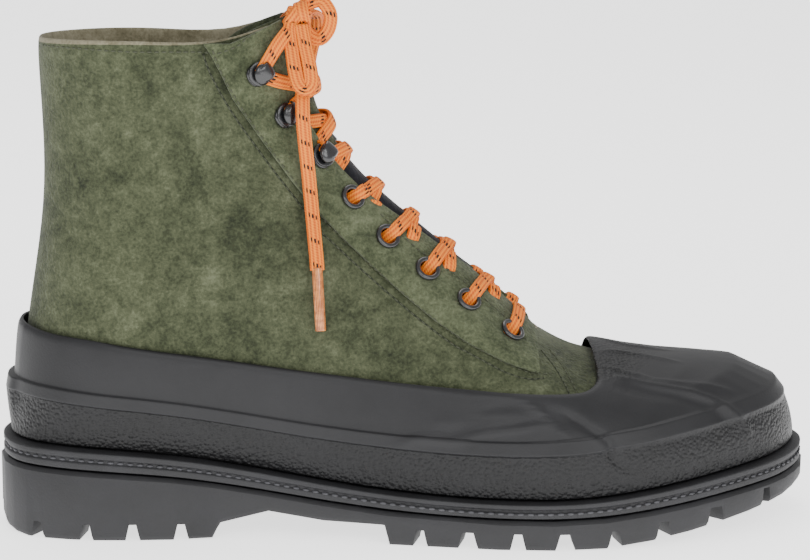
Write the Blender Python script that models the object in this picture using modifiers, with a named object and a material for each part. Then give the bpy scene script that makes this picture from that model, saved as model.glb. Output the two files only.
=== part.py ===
"""Hiking boot, right foot: suede upper, rubber shell, lugged sole and a flat braided lace.

The toe points along +X, the outer (lateral) side faces -Y and the ground is z = 0.
The origin lies under the middle of the outsole.
"""
import bpy
import bmesh
import math
import numpy as np
from mathutils import Matrix, Vector

mm = 0.001

# Driving sizes
boot_length = 305 * mm
ball_width = 106 * mm
heel_height = 26 * mm        # side of the outsole at the heel
toe_spring = 15 * mm         # rise of the outsole's tip
welt_height = 8 * mm         # side of the midsole at the heel
upper_height = 146.4 * mm    # from the heel seat up to the collar
gap = 0.3 * mm               # between pieces that meet
facet_play = 0.45 * mm       # more where flat facets stand off a round form

# Walls and margins
suede_wall = 2.0 * mm
facing_wall = 1.1 * mm
shell_wall = 2.3 * mm
welt_width = 4.0 * mm        # midsole showing around the rubber shell
toe_welt = 1.6 * mm          # what the welt is wider by at the toe
insole_thickness = 3.5 * mm
insole_play = 2.3 * mm
tongue_wall = 3.0 * mm

# Rubber shell
shell_back = 41.5 * mm       # height of its top edge over the welt at the heel
band_low = 15.5 * mm         # raised band, measured up the wall
band_top = 20.5 * mm
band_rise = 0.9 * mm
band_bevel = 0.6 * mm
heel_tab_rise = 2.8 * mm

# Tread
lug_depth = 6.0 * mm
lug_length = 15 * mm
channel_inset = 14 * mm
tread_overlap = 1.5 * mm

# Eyelets, hooks and lace
eyelet_radius = 4.7 * mm
eyelet_bore = 2.9 * mm
eyelet_lip = 0.9 * mm
eyelet_rim = 0.7 * mm        # wall of its barrel
hook_reach = 4.4 * mm        # from the rivet to the bend on the throat's side
hook_height = 5.1 * mm
hook_strip = 1.0 * mm
lace_width = 5.2 * mm
lace_thickness = 1.9 * mm
lace_clearance = 1.4 * mm    # under a strand, because the facings are faceted
cord_radius = 1.6 * mm       # the lace where it hangs free
aglet_length = 22 * mm
aglet_radius = 1.9 * mm

# Outline of the sole seen from above, anticlockwise from the heel's back.
# along: share of boot_length, across: share of ball_width (the medial side is positive)
# Columns: along, across
outline_table = (
    (0.000, 0.000),
    (0.013, -0.165),
    (0.046, -0.275),
    (0.125, -0.340),
    (0.246, -0.340),
    (0.367, -0.365),
    (0.490, -0.435),
    (0.606, -0.510),
    (0.705, -0.524),
    (0.803, -0.470),
    (0.890, -0.350),
    (0.952, -0.215),
    (0.987, -0.065),
    (1.000, 0.085),
    (0.989, 0.235),
    (0.945, 0.368),
    (0.865, 0.448),
    (0.761, 0.476),
    (0.672, 0.468),
    (0.557, 0.405),
    (0.426, 0.312),
    (0.311, 0.282),
    (0.197, 0.310),
    (0.105, 0.322),
    (0.046, 0.272),
    (0.013, 0.163),
)

# Underside of the outsole: along as a share of boot_length, up as a share of heel_height
underside_table = (
    (0.000, 0.085),
    (0.020, 0.030),
    (0.040, 0.000),
    (0.262, 0.000),
    (0.272, 0.240),
    (0.289, 0.365),
    (0.310, 0.419),
    (0.330, 0.423),
    (0.377, 0.323),
    (0.436, 0.262),
    (0.469, 0.280),
    (0.475, 0.000),
    (0.720, 0.000),
)
# Rise of the toe: share of boot_length, share of toe_spring
spring_table = ((0.720, 0.00), (0.787, 0.15), (0.849, 0.33), (0.921, 0.58), (0.964, 0.76), (1.000, 1.00))

# Top of the outsole and height of the welt: share of boot_length, of heel_height, of welt_height
side_table = (
    (0.000, 1.038, 1.00),
    (0.066, 1.000, 1.00),
    (0.131, 0.958, 1.00),
    (0.210, 0.885, 0.98),
    (0.275, 0.785, 0.95),
    (0.387, 0.588, 0.87),
    (0.449, 0.492, 0.83),
    (0.528, 0.431, 0.80),
    (0.600, 0.412, 0.79),
    (0.660, 0.404, 0.79),
    (0.720, 0.423, 0.81),
    (0.767, 0.477, 0.84),
    (0.813, 0.535, 0.88),
    (0.895, 0.638, 0.92),
    (0.960, 0.715, 0.94),
    (1.000, 0.785, 0.94),
)

# Sections of the last, from the toe over the instep and up the shaft. Each lies in a plane
# through a point on the ridge and one on the feather line or, higher up, on the heel's back.
# ridge, base: shares of the feather line's length; rise, back: heights over the feather line
# as shares of upper_height; centre: share of ball_width; lateral, medial: half widths of the
# shaft as shares of ball_width; widest: share of the way down; square: power of the round.
# Columns: ridge, rise, base, back, centre, lateral, medial, widest, square, bulge
section_table = (
    (1.0000, 0.000, 1.000, 0.000, 0.095, 0.05, 0.05, 0.80, 0.75, 0.1),
    (0.9980, 0.044, 0.998, 0.000, 0.095, 0.05, 0.05, 0.80, 0.75, 0.2),
    (0.9900, 0.100, 0.990, 0.000, 0.094, 0.06, 0.06, 0.80, 0.75, 0.3),
    (0.9740, 0.148, 0.974, 0.000, 0.092, 0.07, 0.07, 0.79, 0.75, 0.4),
    (0.9480, 0.186, 0.948, 0.000, 0.090, 0.08, 0.08, 0.78, 0.75, 0.5),
    (0.9070, 0.211, 0.907, 0.000, 0.085, 0.10, 0.10, 0.75, 0.78, 0.7),
    (0.8550, 0.230, 0.855, 0.000, 0.075, 0.12, 0.12, 0.74, 0.82, 0.9),
    (0.7970, 0.258, 0.804, 0.000, 0.062, 0.15, 0.15, 0.73, 0.87, 1.1),
    (0.7350, 0.302, 0.742, 0.000, 0.047, 0.18, 0.18, 0.73, 0.95, 1.3),
    (0.6800, 0.361, 0.680, 0.000, 0.034, 0.21, 0.21, 0.75, 1.05, 1.5),
    (0.6250, 0.457, 0.611, 0.000, 0.024, 0.25, 0.25, 0.78, 1.13, 1.6),
    (0.5700, 0.555, 0.535, 0.000, 0.015, 0.29, 0.28, 0.80, 1.18, 1.6),
    (0.5180, 0.630, 0.452, 0.000, 0.009, 0.32, 0.31, 0.80, 1.18, 1.5),
    (0.4700, 0.685, 0.363, 0.000, 0.005, 0.335, 0.325, 0.77, 1.14, 1.3),
    (0.4356, 0.720, 0.267, 0.000, 0.002, 0.340, 0.330, 0.72, 1.09, 1.0),
    (0.4114, 0.757, 0.170, 0.000, 0.000, 0.338, 0.330, 0.67, 1.04, 0.8),
    (0.3959, 0.799, 0.084, 0.000, 0.000, 0.333, 0.327, 0.63, 1.00, 0.6),
    (0.3873, 0.840, 0.024, 0.000, 0.000, 0.328, 0.322, 0.60, 0.98, 0.4),
    (0.3822, 0.886, 0.000, 0.000, 0.000, 0.322, 0.317, 0.58, 0.96, 0.2),
    (0.3780, 0.927, 0.0045, 0.119, 0.000, 0.315, 0.311, 0.57, 0.95, 0.0),
    (0.3756, 0.961, 0.0114, 0.269, 0.000, 0.307, 0.304, 0.56, 0.94, 0.0),
    (0.3735, 0.988, 0.0275, 0.413, 0.000, 0.301, 0.298, 0.56, 0.93, 0.0),
    (0.3715, 1.015, 0.0403, 0.563, 0.000, 0.299, 0.297, 0.56, 0.92, 0.0),
    (0.3698, 1.043, 0.0424, 0.693, 0.000, 0.302, 0.301, 0.56, 0.91, 0.0),
    (0.3673, 1.067, 0.0396, 0.816, 0.000, 0.311, 0.310, 0.56, 0.90, 0.0),
    (0.3646, 1.091, 0.0365, 0.939, 0.000, 0.323, 0.322, 0.57, 0.90, 0.0),
    (0.3611, 1.118, 0.0355, 1.062, 0.000, 0.336, 0.335, 0.57, 0.90, 0.0),
)
heel_row = 18                # the section whose base is the heel's back
throat_row = 9.1             # bottom of the throat
vamp_row = 7.93              # edge of the rubber over the toe

# Front edge of the facings at their rounded lower corner: section, share of ball_width
facing_corner_table = ((9.28, 0.150), (9.34, 0.118), (9.45, 0.099), (9.75, 0.088), (10.0, 0.088))

# Half width of the throat: section, share of ball_width
throat_table = (
    (9.1, 0.0),
    (9.2, 0.050),
    (9.45, 0.080),
    (10.0, 0.088),
    (12.4, 0.092),
    (13.6, 0.113),
    (16.5, 0.125),
    (21.0, 0.145),
    (25.0, 0.180),
    (26.0, 0.190),
)

# Collar: share of boot_length, height over the heel seat as a share of upper_height
collar_table = ((0.00, 1.005), (0.16, 1.005), (0.25, 0.998), (0.285, 0.992), (0.315, 1.016), (0.345, 1.045), (0.40, 1.08))

# Seam behind the facing, seen from the side, from the collar down to the vamp
facing_seam_table = (
    (0.2635, 0.973),
    (0.2917, 0.855),
    (0.3286, 0.738),
    (0.3732, 0.613),
    (0.4122, 0.516),
    (0.4872, 0.374),
    (0.5544, 0.267),
    (0.6182, 0.198),
    (0.6700, 0.165),
)

# Stations of the rubber shell, from the heel's back to the vamp: top edge as a share of
# boot_length and of shell_back, and the section where the station meets the welt
shell_table = (
    (0.073, 0.949, 16.90),
    (0.128, 0.918, 15.75),
    (0.178, 0.863, 15.07),
    (0.280, 0.766, 13.93),
    (0.370, 0.660, 12.90),
    (0.488, 0.549, 11.46),
    (0.574, 0.499, 10.27),
    (0.624, 0.458, 9.45),
    (0.672, 0.425, 8.70),
    (0.706, 0.416, 8.10),
    (0.719, 0.450, 7.50),
)
# Its last stations cross the vamp: share of the way from the corner up to the ridge, section
shell_vamp_table = ((0.22, 6.60), (0.46, 5.30), (0.66, 4.00), (0.83, 2.30), (1.00, 0.00))

# Notches around the sole: place as a share of boot_length, widths below and above
notch_table = (
    (0.052, 8.0 * mm, 3.2 * mm),
    (0.112, 7.5 * mm, 2.6 * mm),
    (0.168, 8.0 * mm, 2.6 * mm),
    (0.226, 8.5 * mm, 2.6 * mm),
    (0.511, 8.0 * mm, 2.8 * mm),
    (0.567, 10.5 * mm, 4.0 * mm),
    (0.626, 8.6 * mm, 2.8 * mm),
    (0.682, 10.5 * mm, 3.8 * mm),
    (0.742, 8.6 * mm, 2.5 * mm),
    (0.802, 9.5 * mm, 3.8 * mm),
    (0.868, 11.0 * mm, 5.0 * mm),
    (0.936, 7.0 * mm, 3.0 * mm),
)


def remove_scene_objects():
    for item in list(bpy.data.objects):
        bpy.data.objects.remove(item, do_unlink=True)


remove_scene_objects()
boot = bpy.data.collections.new("hiking_boot")
cutters = bpy.data.collections.new("cutters")
bpy.context.scene.collection.children.link(boot)
bpy.context.scene.collection.children.link(cutters)


# Curves and tables

def smooth(table, column, at):
    """Value of a column between the rows of a table, along a smooth curve through them."""
    last = len(table) - 1
    at = min(max(at, 0.0), last)
    row = min(int(at), last - 1)
    part = at - row
    before, here, after, beyond = (table[min(max(row + step, 0), last)][column] for step in (-1, 0, 1, 2))
    start = (after - before) / 2
    end = (beyond - here) / 2
    square = part * part
    cube = square * part
    return ((2 * cube - 3 * square + 1) * here + (cube - 2 * square + part) * start
            + (3 * square - 2 * cube) * after + (cube - square) * end)


def smooth_at(table, value, column=1):
    """Value of a column where the first column has the given value."""
    places = [row[0] for row in table]
    return smooth(table, column, float(np.interp(value, places, range(len(places)))))


def closed_curve(points, steps):
    """Points along a smooth closed curve through the given ones."""
    count = len(points)
    table = [points[index % count] for index in range(-1, count + 2)]
    result = []
    for index in range(count * steps):
        at = 1 + index / steps
        result.append((smooth(table, 0, at), smooth(table, 1, at)))
    return np.array(result)


def inset_curve(curve, distance):
    """The closed curve moved inwards, where its insets may differ from point to point."""
    along = np.roll(curve, -1, axis=0) - np.roll(curve, 1, axis=0)
    along /= np.linalg.norm(along, axis=1)[:, None]
    inward = np.stack((-along[:, 1], along[:, 0]), axis=1)
    return curve + inward * np.asarray(distance)[:, None]


outline_steps = 12
outline = closed_curve([(along * boot_length, across * ball_width) for along, across in outline_table], outline_steps)


def welt_margin(extra):
    """Inset of each outline point for a form that stands extra inside the welt's edge."""
    share = np.clip((outline[:, 0] / boot_length - 0.80) / 0.17, 0, 1)
    return welt_width + extra + toe_welt * share * share * (3 - 2 * share)


def halves(curve):
    """Lateral and medial branches of a closed outline, each from the heel to the toe."""
    heel = int(np.argmin(curve[:, 0]))
    turned = np.roll(curve, -heel, axis=0)
    toe = int(np.argmax(turned[:, 0]))
    lateral = turned[: toe + 1]
    medial = np.vstack((turned[:1], turned[toe:][::-1]))
    return lateral, medial


class Rim:
    """A sole outline that is inset, with its edge on either side at any share of its length."""

    def __init__(self, distance):
        margins = np.full(len(outline), distance) if np.isscalar(distance) else distance
        self.sides = halves(inset_curve(outline, margins))
        self.heel = float(self.sides[0][0][0])
        self.toe = float(self.sides[0][-1][0])

    def place(self, share):
        return self.heel + share * (self.toe - self.heel)

    def across(self, along, side):
        branch = self.sides[0 if side < 0 else 1]
        return float(np.interp(along, branch[:, 0], branch[:, 1]))


def sole_top(along):
    return smooth_at(side_table, along / boot_length) * heel_height


def welt_top(along):
    return sole_top(along) + gap + smooth_at(side_table, along / boot_length, 2) * welt_height


def sole_bottom(along):
    share = along / boot_length
    arch = float(np.interp(share, *zip(*underside_table))) * heel_height
    return arch + float(np.interp(share, *zip(*spring_table))) * toe_spring


# The last: every curve of the upper lies on this surface

upper_rim = Rim(welt_margin(shell_wall + gap))
heel_seat = welt_top(upper_rim.heel) + gap + facet_play


def feather(along):
    return welt_top(along) + gap + facet_play


def ridge_point(row):
    base = base_place(row)
    return upper_rim.place(smooth(section_table, 0, row)), feather(base) + smooth(section_table, 1, row) * upper_height


def base_place(row):
    return upper_rim.place(max(smooth(section_table, 2, min(row, heel_row)), 0.0))


def base_point(row):
    if row <= heel_row:
        place = base_place(row)
        return place, feather(place)
    return upper_rim.place(smooth(section_table, 2, row)), heel_seat + smooth(section_table, 3, row) * upper_height


class Section:
    """One plane section of the last. An angle of 0 is on the ridge, its end angle at the base."""

    def __init__(self, row, side):
        self.side = -1 if side < 0 else 1
        self.ridge = ridge_point(row)
        self.base = base_point(row)
        self.depth = math.dist(self.ridge, self.base)
        self.centre = smooth(section_table, 4, row) * ball_width
        shaft = smooth(section_table, 5 if side < 0 else 6, row) * ball_width
        foot = 0.0
        if row < heel_row:
            foot = abs(upper_rim.across(self.base[0], side) - self.centre)
        wide = foot + smooth(section_table, 9, row) * mm
        blend = 5.0 * mm
        self.width = (wide + shaft + math.hypot(wide - shaft, blend)) / 2
        if self.depth < 1e-9:
            self.width = 0.0
        self.square = smooth(section_table, 8, row)
        self.upper = smooth(section_table, 7, row) * self.depth
        ratio = min(foot / self.width, 1.0) if self.width > 0 else 0.0
        self.end = math.pi - math.asin(ratio ** (1 / self.square))
        self.lower = (self.depth - self.upper) / -math.cos(self.end)

    def down(self, angle):
        if angle <= math.pi / 2:
            return self.upper * (1 - math.cos(angle))
        return self.upper - self.lower * math.cos(angle)

    def angle_at(self, down):
        if down <= self.upper:
            return math.acos(max(1 - down / self.upper, -1.0)) if self.upper > 0 else 0.0
        return math.acos(max(-(down - self.upper) / self.lower, -1.0))

    def angle_across(self, half):
        return math.asin(min(half / self.width, 1.0) ** (1 / self.square)) if self.width > 0 else 0.0

    def across(self, angle):
        return self.centre + self.side * self.width * max(math.sin(angle), 0.0) ** self.square

    def point(self, angle):
        share = self.down(angle) / self.depth if self.depth > 0 else 0.0
        along = self.ridge[0] + share * (self.base[0] - self.ridge[0])
        up = self.ridge[1] + share * (self.base[1] - self.ridge[1])
        return Vector((along, self.across(angle), up))


def last_point(row, share, side, lift=0.0):
    """Point of the last: share 0 is on the ridge and 1 at the base. Lift moves it outwards."""
    section = Section(row, side)
    point = section.point(share * section.end)
    if lift:
        point = point + last_normal(row, share, side) * lift
    return point


def last_normal(row, share, side):
    row = min(max(row, 0.06), len(section_table) - 1.02)
    share = min(max(share, 0.004), 0.996)
    step_row = 0.02
    step_share = 0.003
    ahead = last_point(row + step_row, share, side) - last_point(row - step_row, share, side)
    down = last_point(row, share + step_share, side) - last_point(row, share - step_share, side)
    normal = ahead.cross(down) * -side
    return normal.normalized()


def locate(along, up):
    """Section and share of the depth for a point of the last seen from the side."""
    def offside(row):
        ridge = ridge_point(row)
        base = base_point(row)
        return (base[0] - ridge[0]) * (up - ridge[1]) - (base[1] - ridge[1]) * (along - ridge[0])
    low, high = 0.5, len(section_table) - 1.001
    for _ in range(40):
        middle = (low + high) / 2
        if (offside(middle) > 0) == (offside(low) > 0):
            low = middle
        else:
            high = middle
    row = (low + high) / 2
    ridge = ridge_point(row)
    base = base_point(row)
    depth = math.dist(ridge, base)
    down = ((along - ridge[0]) * (base[0] - ridge[0]) + (up - ridge[1]) * (base[1] - ridge[1])) / depth
    return row, min(max(down, 0.0), depth)


def share_at(row, down, side):
    section = Section(row, side)
    return min(section.angle_at(down) / section.end, 1.0)


def in_frame(point):
    """From the heel's back to the frame whose origin is under the middle of the sole."""
    return Vector((point[0] - boot_length / 2, point[1], point[2]))


# Objects

def material(name, colour, roughness, metallic=0.0):
    shade = bpy.data.materials.new(name)
    shade.use_nodes = True
    surface = shade.node_tree.nodes["Principled BSDF"]
    surface.inputs["Base Color"].default_value = (*colour, 1)
    surface.inputs["Roughness"].default_value = roughness
    surface.inputs["Metallic"].default_value = metallic
    return shade


def add_object(name, mesh, shade, collection=None):
    item = bpy.data.objects.new(name, mesh)
    (collection or boot).objects.link(item)
    if shade is not None:
        mesh.materials.append(shade)
    return item


def mesh_from(name, points, faces):
    mesh = bpy.data.meshes.new(name)
    mesh.from_pydata([in_frame(point) for point in points], [], faces)
    shape = bmesh.new()
    shape.from_mesh(mesh)
    bmesh.ops.remove_doubles(shape, verts=shape.verts, dist=0.00002)
    bmesh.ops.recalc_face_normals(shape, faces=shape.faces)
    shape.to_mesh(mesh)
    shape.free()
    mesh.shade_smooth()
    mesh.set_sharp_from_angle(angle=math.radians(35))
    return mesh


def cut(item, tool, operation="DIFFERENCE"):
    tool.hide_render = True
    tool.display_type = "WIRE"
    change = item.modifiers.new("cut", "BOOLEAN")
    change.operation = operation
    change.object = tool
    change.solver = "EXACT"


# Sole pieces are stacks of outlines, with strips across their top and bottom

station_count = 26


def stations(count=station_count):
    """Shares of the length, closer together at the heel and the toe."""
    even = np.linspace(0, 1, count)
    return even - 0.75 * np.sin(2 * math.pi * even) / (2 * math.pi)


def stack_mesh(name, levels, shares):
    """A closed body whose levels are (rim, height function), from the bottom up."""
    points = []
    rings = []
    inner = shares[1:-1]
    for rim, height in levels:
        ring = []
        for side, run in ((-1, inner), (1, inner[::-1])):
            end = rim.heel if side < 0 else rim.toe
            ring.append((end, rim.across(end, side), height(end)))
            for share in run:
                place = rim.place(share)
                ring.append((place, rim.across(place, side), height(place)))
        rings.append(range(len(points), len(points) + len(ring)))
        points.extend(ring)
    faces = []
    count = len(rings[0])
    for below, above in zip(rings, rings[1:]):
        for index in range(count):
            after = (index + 1) % count
            faces.append((below[index], below[after], above[after], above[index]))
    for ring in (rings[0], rings[-1]):
        for index in range(count // 2):
            left = ring[index], ring[index + 1]
            right = ring[(count - index - 1) % count], ring[(count - index) % count]
            corners = list(dict.fromkeys((left[0], left[1], right[0], right[1])))
            faces.append(tuple(corners))
    return mesh_from(name, points, faces)


def raised(height, by):
    return lambda along: height(along) + by


outsole_side = Rim(0.0)


def make_outsole():
    chamfer = 1.4 * mm
    edge = 0.8 * mm
    shares = sorted(set(stations()) | {0.262, 0.272, 0.469, 0.475})
    levels = (
        (Rim(edge), sole_bottom),
        (outsole_side, raised(sole_bottom, 2 * edge)),
        (outsole_side, raised(sole_top, -chamfer)),
        (Rim(chamfer), sole_top),
    )
    shade = material("outsole_rubber", (0.035, 0.035, 0.038), 0.75)
    outsole = add_object("outsole", stack_mesh("outsole", levels, shares), shade)
    cut(outsole, make_fields())
    cut(outsole, make_notches())
    cut(outsole, make_centre_lugs(), "UNION")
    return outsole


def field_points(first, last):
    """Recess inside the ring of lugs, between two shares of the length."""
    rim = Rim(channel_inset)
    count = 9
    points = []
    for level in (-1, 1):
        for side in (-1, 1):
            for share in np.linspace(first, last, count):
                place = share * boot_length
                across = rim.across(place, side)
                up = -3 * lug_depth if level < 0 else sole_bottom(place) + lug_depth
                points.append((place, across, up))
    faces = []
    for level in (0, 2 * count):
        for index in range(count - 1):
            faces.append((level + index, level + index + 1, level + count + index + 1, level + count + index))
    for side in (0, count):
        for index in range(count - 1):
            faces.append((side + index, side + index + 1, side + 2 * count + index + 1, side + 2 * count + index))
    for end in (0, count - 1):
        faces.append((end, end + count, end + 3 * count, end + 2 * count))
    return points, faces


heel_field = (0.060, 0.245)
front_field = (0.505, 0.935)


def make_fields():
    points, faces = [], []
    for first, last in (heel_field, front_field):
        new_points, new_faces = field_points(first, last)
        faces += [tuple(corner + len(points) for corner in face) for face in new_faces]
        points += new_points
    return add_object("tread_fields", mesh_from("tread_fields", points, faces), None, cutters)


def wedge(place, across, direction, length, lower, upper, depth):
    """A tapered notch that runs inwards along a direction, wider below than above."""
    along = Vector((-direction[1], direction[0], 0))
    inward = Vector((direction[0], direction[1], 0))
    start = Vector((place, across, 0)) - inward * 4 * mm
    bottom = sole_bottom(place)
    points = []
    for reach in (0, length + 4 * mm):
        for half, up in ((-lower, -2 * lug_depth), (lower, -2 * lug_depth), (upper, bottom + depth), (-upper, bottom + depth)):
            low_half = half if up > 0 else half * 1.35
            points.append(start + inward * reach + along * low_half / 2 + Vector((0, 0, up)))
    faces = [(0, 1, 2, 3), (4, 5, 6, 7), (0, 1, 5, 4), (1, 2, 6, 5), (2, 3, 7, 6), (3, 0, 4, 7)]
    return points, faces


def make_notches():
    points, faces = [], []

    def add(part):
        faces.extend(tuple(corner + len(points) for corner in face) for face in part[1])
        points.extend(part[0])

    for share, lower, upper in notch_table:
        place = share * boot_length
        for side in (-1, 1):
            step = 0.004 * boot_length
            slope = outsole_side.across(place + step, side) - outsole_side.across(place - step, side)
            tangent = Vector((2 * step, slope)).normalized()
            inward = Vector((-tangent.y, tangent.x)) if side < 0 else Vector((tangent.y, -tangent.x))
            add(wedge(place, outsole_side.across(place, side), inward, lug_length, lower, upper, lug_depth))
    heel_back = outsole_side.across(0, -1)
    add(wedge(0, heel_back, (1, 0), lug_length, 7 * mm, 4 * mm, lug_depth - 1 * mm))
    toe_tip = outsole_side.across(boot_length, -1)
    add(wedge(boot_length, toe_tip, (-1, 0), lug_length, 7 * mm, 4 * mm, 0.6 * lug_depth))
    return add_object("tread_notches", mesh_from("tread_notches", points, faces), None, cutters)


# Lugs in the middle of the tread: first and last share of the length, half width, chevron
centre_lug_table = (
    (0.092, 0.132, 9.0 * mm, 5 * mm),
    (0.172, 0.212, 9.0 * mm, 5 * mm),
    (0.535, 0.575, 14.0 * mm, 7 * mm),
    (0.612, 0.652, 16.0 * mm, 7 * mm),
    (0.690, 0.730, 16.0 * mm, 7 * mm),
    (0.768, 0.808, 15.0 * mm, 7 * mm),
    (0.846, 0.884, 12.0 * mm, 6 * mm),
)


def make_centre_lugs():
    points, faces = [], []
    for first, last, half, chevron in centre_lug_table:
        centre = (outsole_side.across(first * boot_length, -1) + outsole_side.across(first * boot_length, 1)) / 2
        base = len(points)
        for level in (0, 1):
            for share in (first, last):
                for across, back in ((-half, -chevron), (0, 0), (half, -chevron)):
                    place = share * boot_length + back
                    bottom = sole_bottom(place)
                    up = bottom + lug_depth + tread_overlap if level else bottom + 0.1 * mm
                    points.append((place, centre + across, up))
        for level in (0, 6):
            faces.append((base + level, base + level + 1, base + level + 4, base + level + 3))
            faces.append((base + level + 1, base + level + 2, base + level + 5, base + level + 4))
        around = (0, 1, 2, 5, 4, 3)
        for index in range(6):
            one, two = around[index], around[(index + 1) % 6]
            faces.append((base + one, base + two, base + two + 6, base + one + 6))
    return add_object("centre_lugs", mesh_from("centre_lugs", points, faces), None, cutters)


def make_midsole():
    """Welt strip and the plate under the foot: two ribs with the stitch groove between them."""
    rib = 0.2 * mm
    groove = 1.0 * mm
    lip = 1.4 * mm
    profile = ((0.0, lip), (0.12, rib), (0.38, rib), (0.46, groove), (0.58, groove), (0.66, rib), (0.88, rib), (1.0, lip))
    levels = []
    for share, inset in profile:
        levels.append((Rim(inset), lambda along, share=share: sole_top(along) + gap + share * (welt_top(along) - sole_top(along) - gap)))
    shade = material("midsole_rubber", (0.045, 0.045, 0.048), 0.7)
    return add_object("midsole", stack_mesh("midsole", levels, stations()), shade)


def make_insole():
    rim = Rim(welt_margin(shell_wall + gap + suede_wall + insole_play))
    levels = ((rim, feather), (rim, raised(feather, insole_thickness)))
    shade = material("insole_fabric", (0.05, 0.05, 0.05), 0.95)
    return add_object("insole", stack_mesh("insole", levels, stations(18)), shade)


# Upper: a grid of the last that is open at the throat, the collar and underneath

def throat_half(row):
    return float(np.interp(row, *zip(*throat_table))) * ball_width


def collar_height(along):
    return heel_seat - gap + smooth_at(collar_table, along / boot_length) * upper_height


def slot_share(row, side):
    if row <= throat_row:
        return 0.0
    section = Section(row, side)
    return section.angle_across(throat_half(row)) / section.end


def column_share(row, column, side):
    start = slot_share(row, side)
    return start + (1 - start) * column


def collar_row(column, side):
    """The row where a column of the grid meets the collar."""
    low, high = 19.0, len(section_table) - 1.0
    for _ in range(30):
        middle = (low + high) / 2
        point = last_point(middle, column_share(middle, column, side), side)
        if point.z < collar_height(point.x):
            low = middle
        else:
            high = middle
    return low


shaft_start = 14.0


def shaft_row(row, top):
    """Spreads the rows above shaft_start so that the last one lies on the collar."""
    full = len(section_table) - 1.0
    if row <= shaft_start:
        return row
    return shaft_start + (row - shaft_start) * (top - shaft_start) / (full - shaft_start)


instep_rows = (10.0, 10.7, 11.4, 12.1, 12.8, 13.5, 14.2, 15.0, 16.0)
shaft_rows = (18, 19.5, 21, 22.5, 24, 25.2, 26)
heel_rows = (16.6, 17.2, 17.6)
upper_rows = (0, 0.35, 1, 2, 3.2, 4.6, 6, 7.2, 8, 8.6, 9.1, 9.2, 9.45, *instep_rows, *heel_rows, *shaft_rows)
upper_columns = (0, 0.2, 0.4, 0.55, 0.67, 0.77, 0.86, 0.93, 1)


def make_upper():
    points, index = [], {}
    for side in (-1, 1):
        for place, column in enumerate(upper_columns):
            top = collar_row(column, side)
            for number, row in enumerate(upper_rows):
                index[side, number, place] = len(points)
                height = shaft_row(row, top)
                if row <= heel_row < height:
                    height = float(heel_row)
                points.append(last_point(height, column_share(height, column, side), side))
    faces = []
    for side in (-1, 1):
        for number in range(len(upper_rows) - 1):
            for place in range(len(upper_columns) - 1):
                corners = (index[side, number, place], index[side, number + 1, place],
                           index[side, number + 1, place + 1], index[side, number, place + 1])
                faces.append(corners if side > 0 else corners[::-1])
    mesh = mesh_from("upper", points, faces)
    shade = material("suede_olive", (0.10, 0.11, 0.065), 0.95)
    upper = add_object("upper", mesh, shade)
    wall = upper.modifiers.new("wall", "SOLIDIFY")
    wall.thickness = suede_wall
    wall.offset = -1
    return upper


# Rubber shell: an outer and an inner skin of the last, from the welt up to the top edge

def shell_place(at, side):
    along = smooth(shell_table, 0, at) * boot_length
    height = heel_seat + smooth(shell_table, 1, at) * shell_back
    row, down = locate(along, height)
    return row, share_at(row, down, side)


def back_place(height):
    """Where the line of the heel's back lies at a height, and its section."""
    low, high = float(heel_row), len(section_table) - 1.0
    for _ in range(30):
        middle = (low + high) / 2
        if base_point(middle)[1] < height:
            low = middle
        else:
            high = middle
    return base_point(low)[0], low


def heel_path(at, side, parts):
    """From the welt up round the heel, for places between its back (0) and station 1."""
    welt_front = base_point(shell_table[0][2])[0]
    edge_front = shell_table[0][0] * boot_length
    edge_height = heel_seat + (1 + at * at * (shell_table[0][1] - 1)) * shell_back
    path = []
    for part in parts:
        front = welt_front + part * (edge_front - welt_front)
        height = feather(front) + part * (edge_height - feather(front))
        back, back_row = back_place(height)
        along = back + at * at * (front - back)
        if at == 0:
            path.append((back_row, 1.0))
        else:
            row, down = locate(along, max(height, feather(along)))
            path.append((row, share_at(row, down, side)))
    return path


def side_path(at, side, parts):
    """Straight up the wall, seen from the side."""
    edge_along = smooth(shell_table, 0, at - 1) * boot_length
    edge_height = heel_seat + smooth(shell_table, 1, at - 1) * shell_back
    welt_along, welt_height = base_point(smooth(shell_table, 2, at - 1))
    path = [(smooth(shell_table, 2, at - 1), 1.0)]
    for part in parts[1:]:
        row, down = locate(welt_along + part * (edge_along - welt_along),
                           welt_height + part * (edge_height - welt_height))
        path.append((row, share_at(row, down, side)))
    return path


def toe_path(at, side, parts):
    """Past the corner a station is a straight line, seen from above, from the toe to the vamp."""
    climbs = ((0.0, shell_table[-1][2]),) + shell_vamp_table
    climb = smooth(climbs, 0, at - len(shell_table))
    welt_row = max(smooth(climbs, 1, at - len(shell_table)), 0.0)
    corner_row, corner_share = shell_place(len(shell_table) - 1, side)
    bend = max(0.0, 1 - climb / shell_vamp_table[0][0])
    edge_row = vamp_row + (corner_row - vamp_row) * bend * bend
    edge = Section(edge_row, side)
    start = Section(welt_row, side)
    start_across = start.across(start.end)
    end_across = edge.across(corner_share * (1 - climb) * edge.end)
    path = []
    for part in parts:
        row = welt_row + part ** 1.6 * (edge_row - welt_row)
        section = Section(row, side)
        across = start_across + part * (end_across - start_across)
        share = section.angle_across(abs(across - section.centre)) / section.end
        path.append((row, 1 + min(part / 0.04, 1.0) * (share - 1)))
    return path


heel_places = (0.0, 0.25, 0.48, 0.54, 0.75)
tab_edge = 0.5
shell_steps = (2, 2, 2, 2, 2, 2, 1, 1, 1, 1, 2, 2, 2, 2, 2)


def shell_columns():
    places = list(heel_places)
    for station, steps in enumerate(shell_steps, 1):
        places.extend(station + step / steps for step in range(steps))
    return places + [len(shell_steps) + 1]


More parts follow.
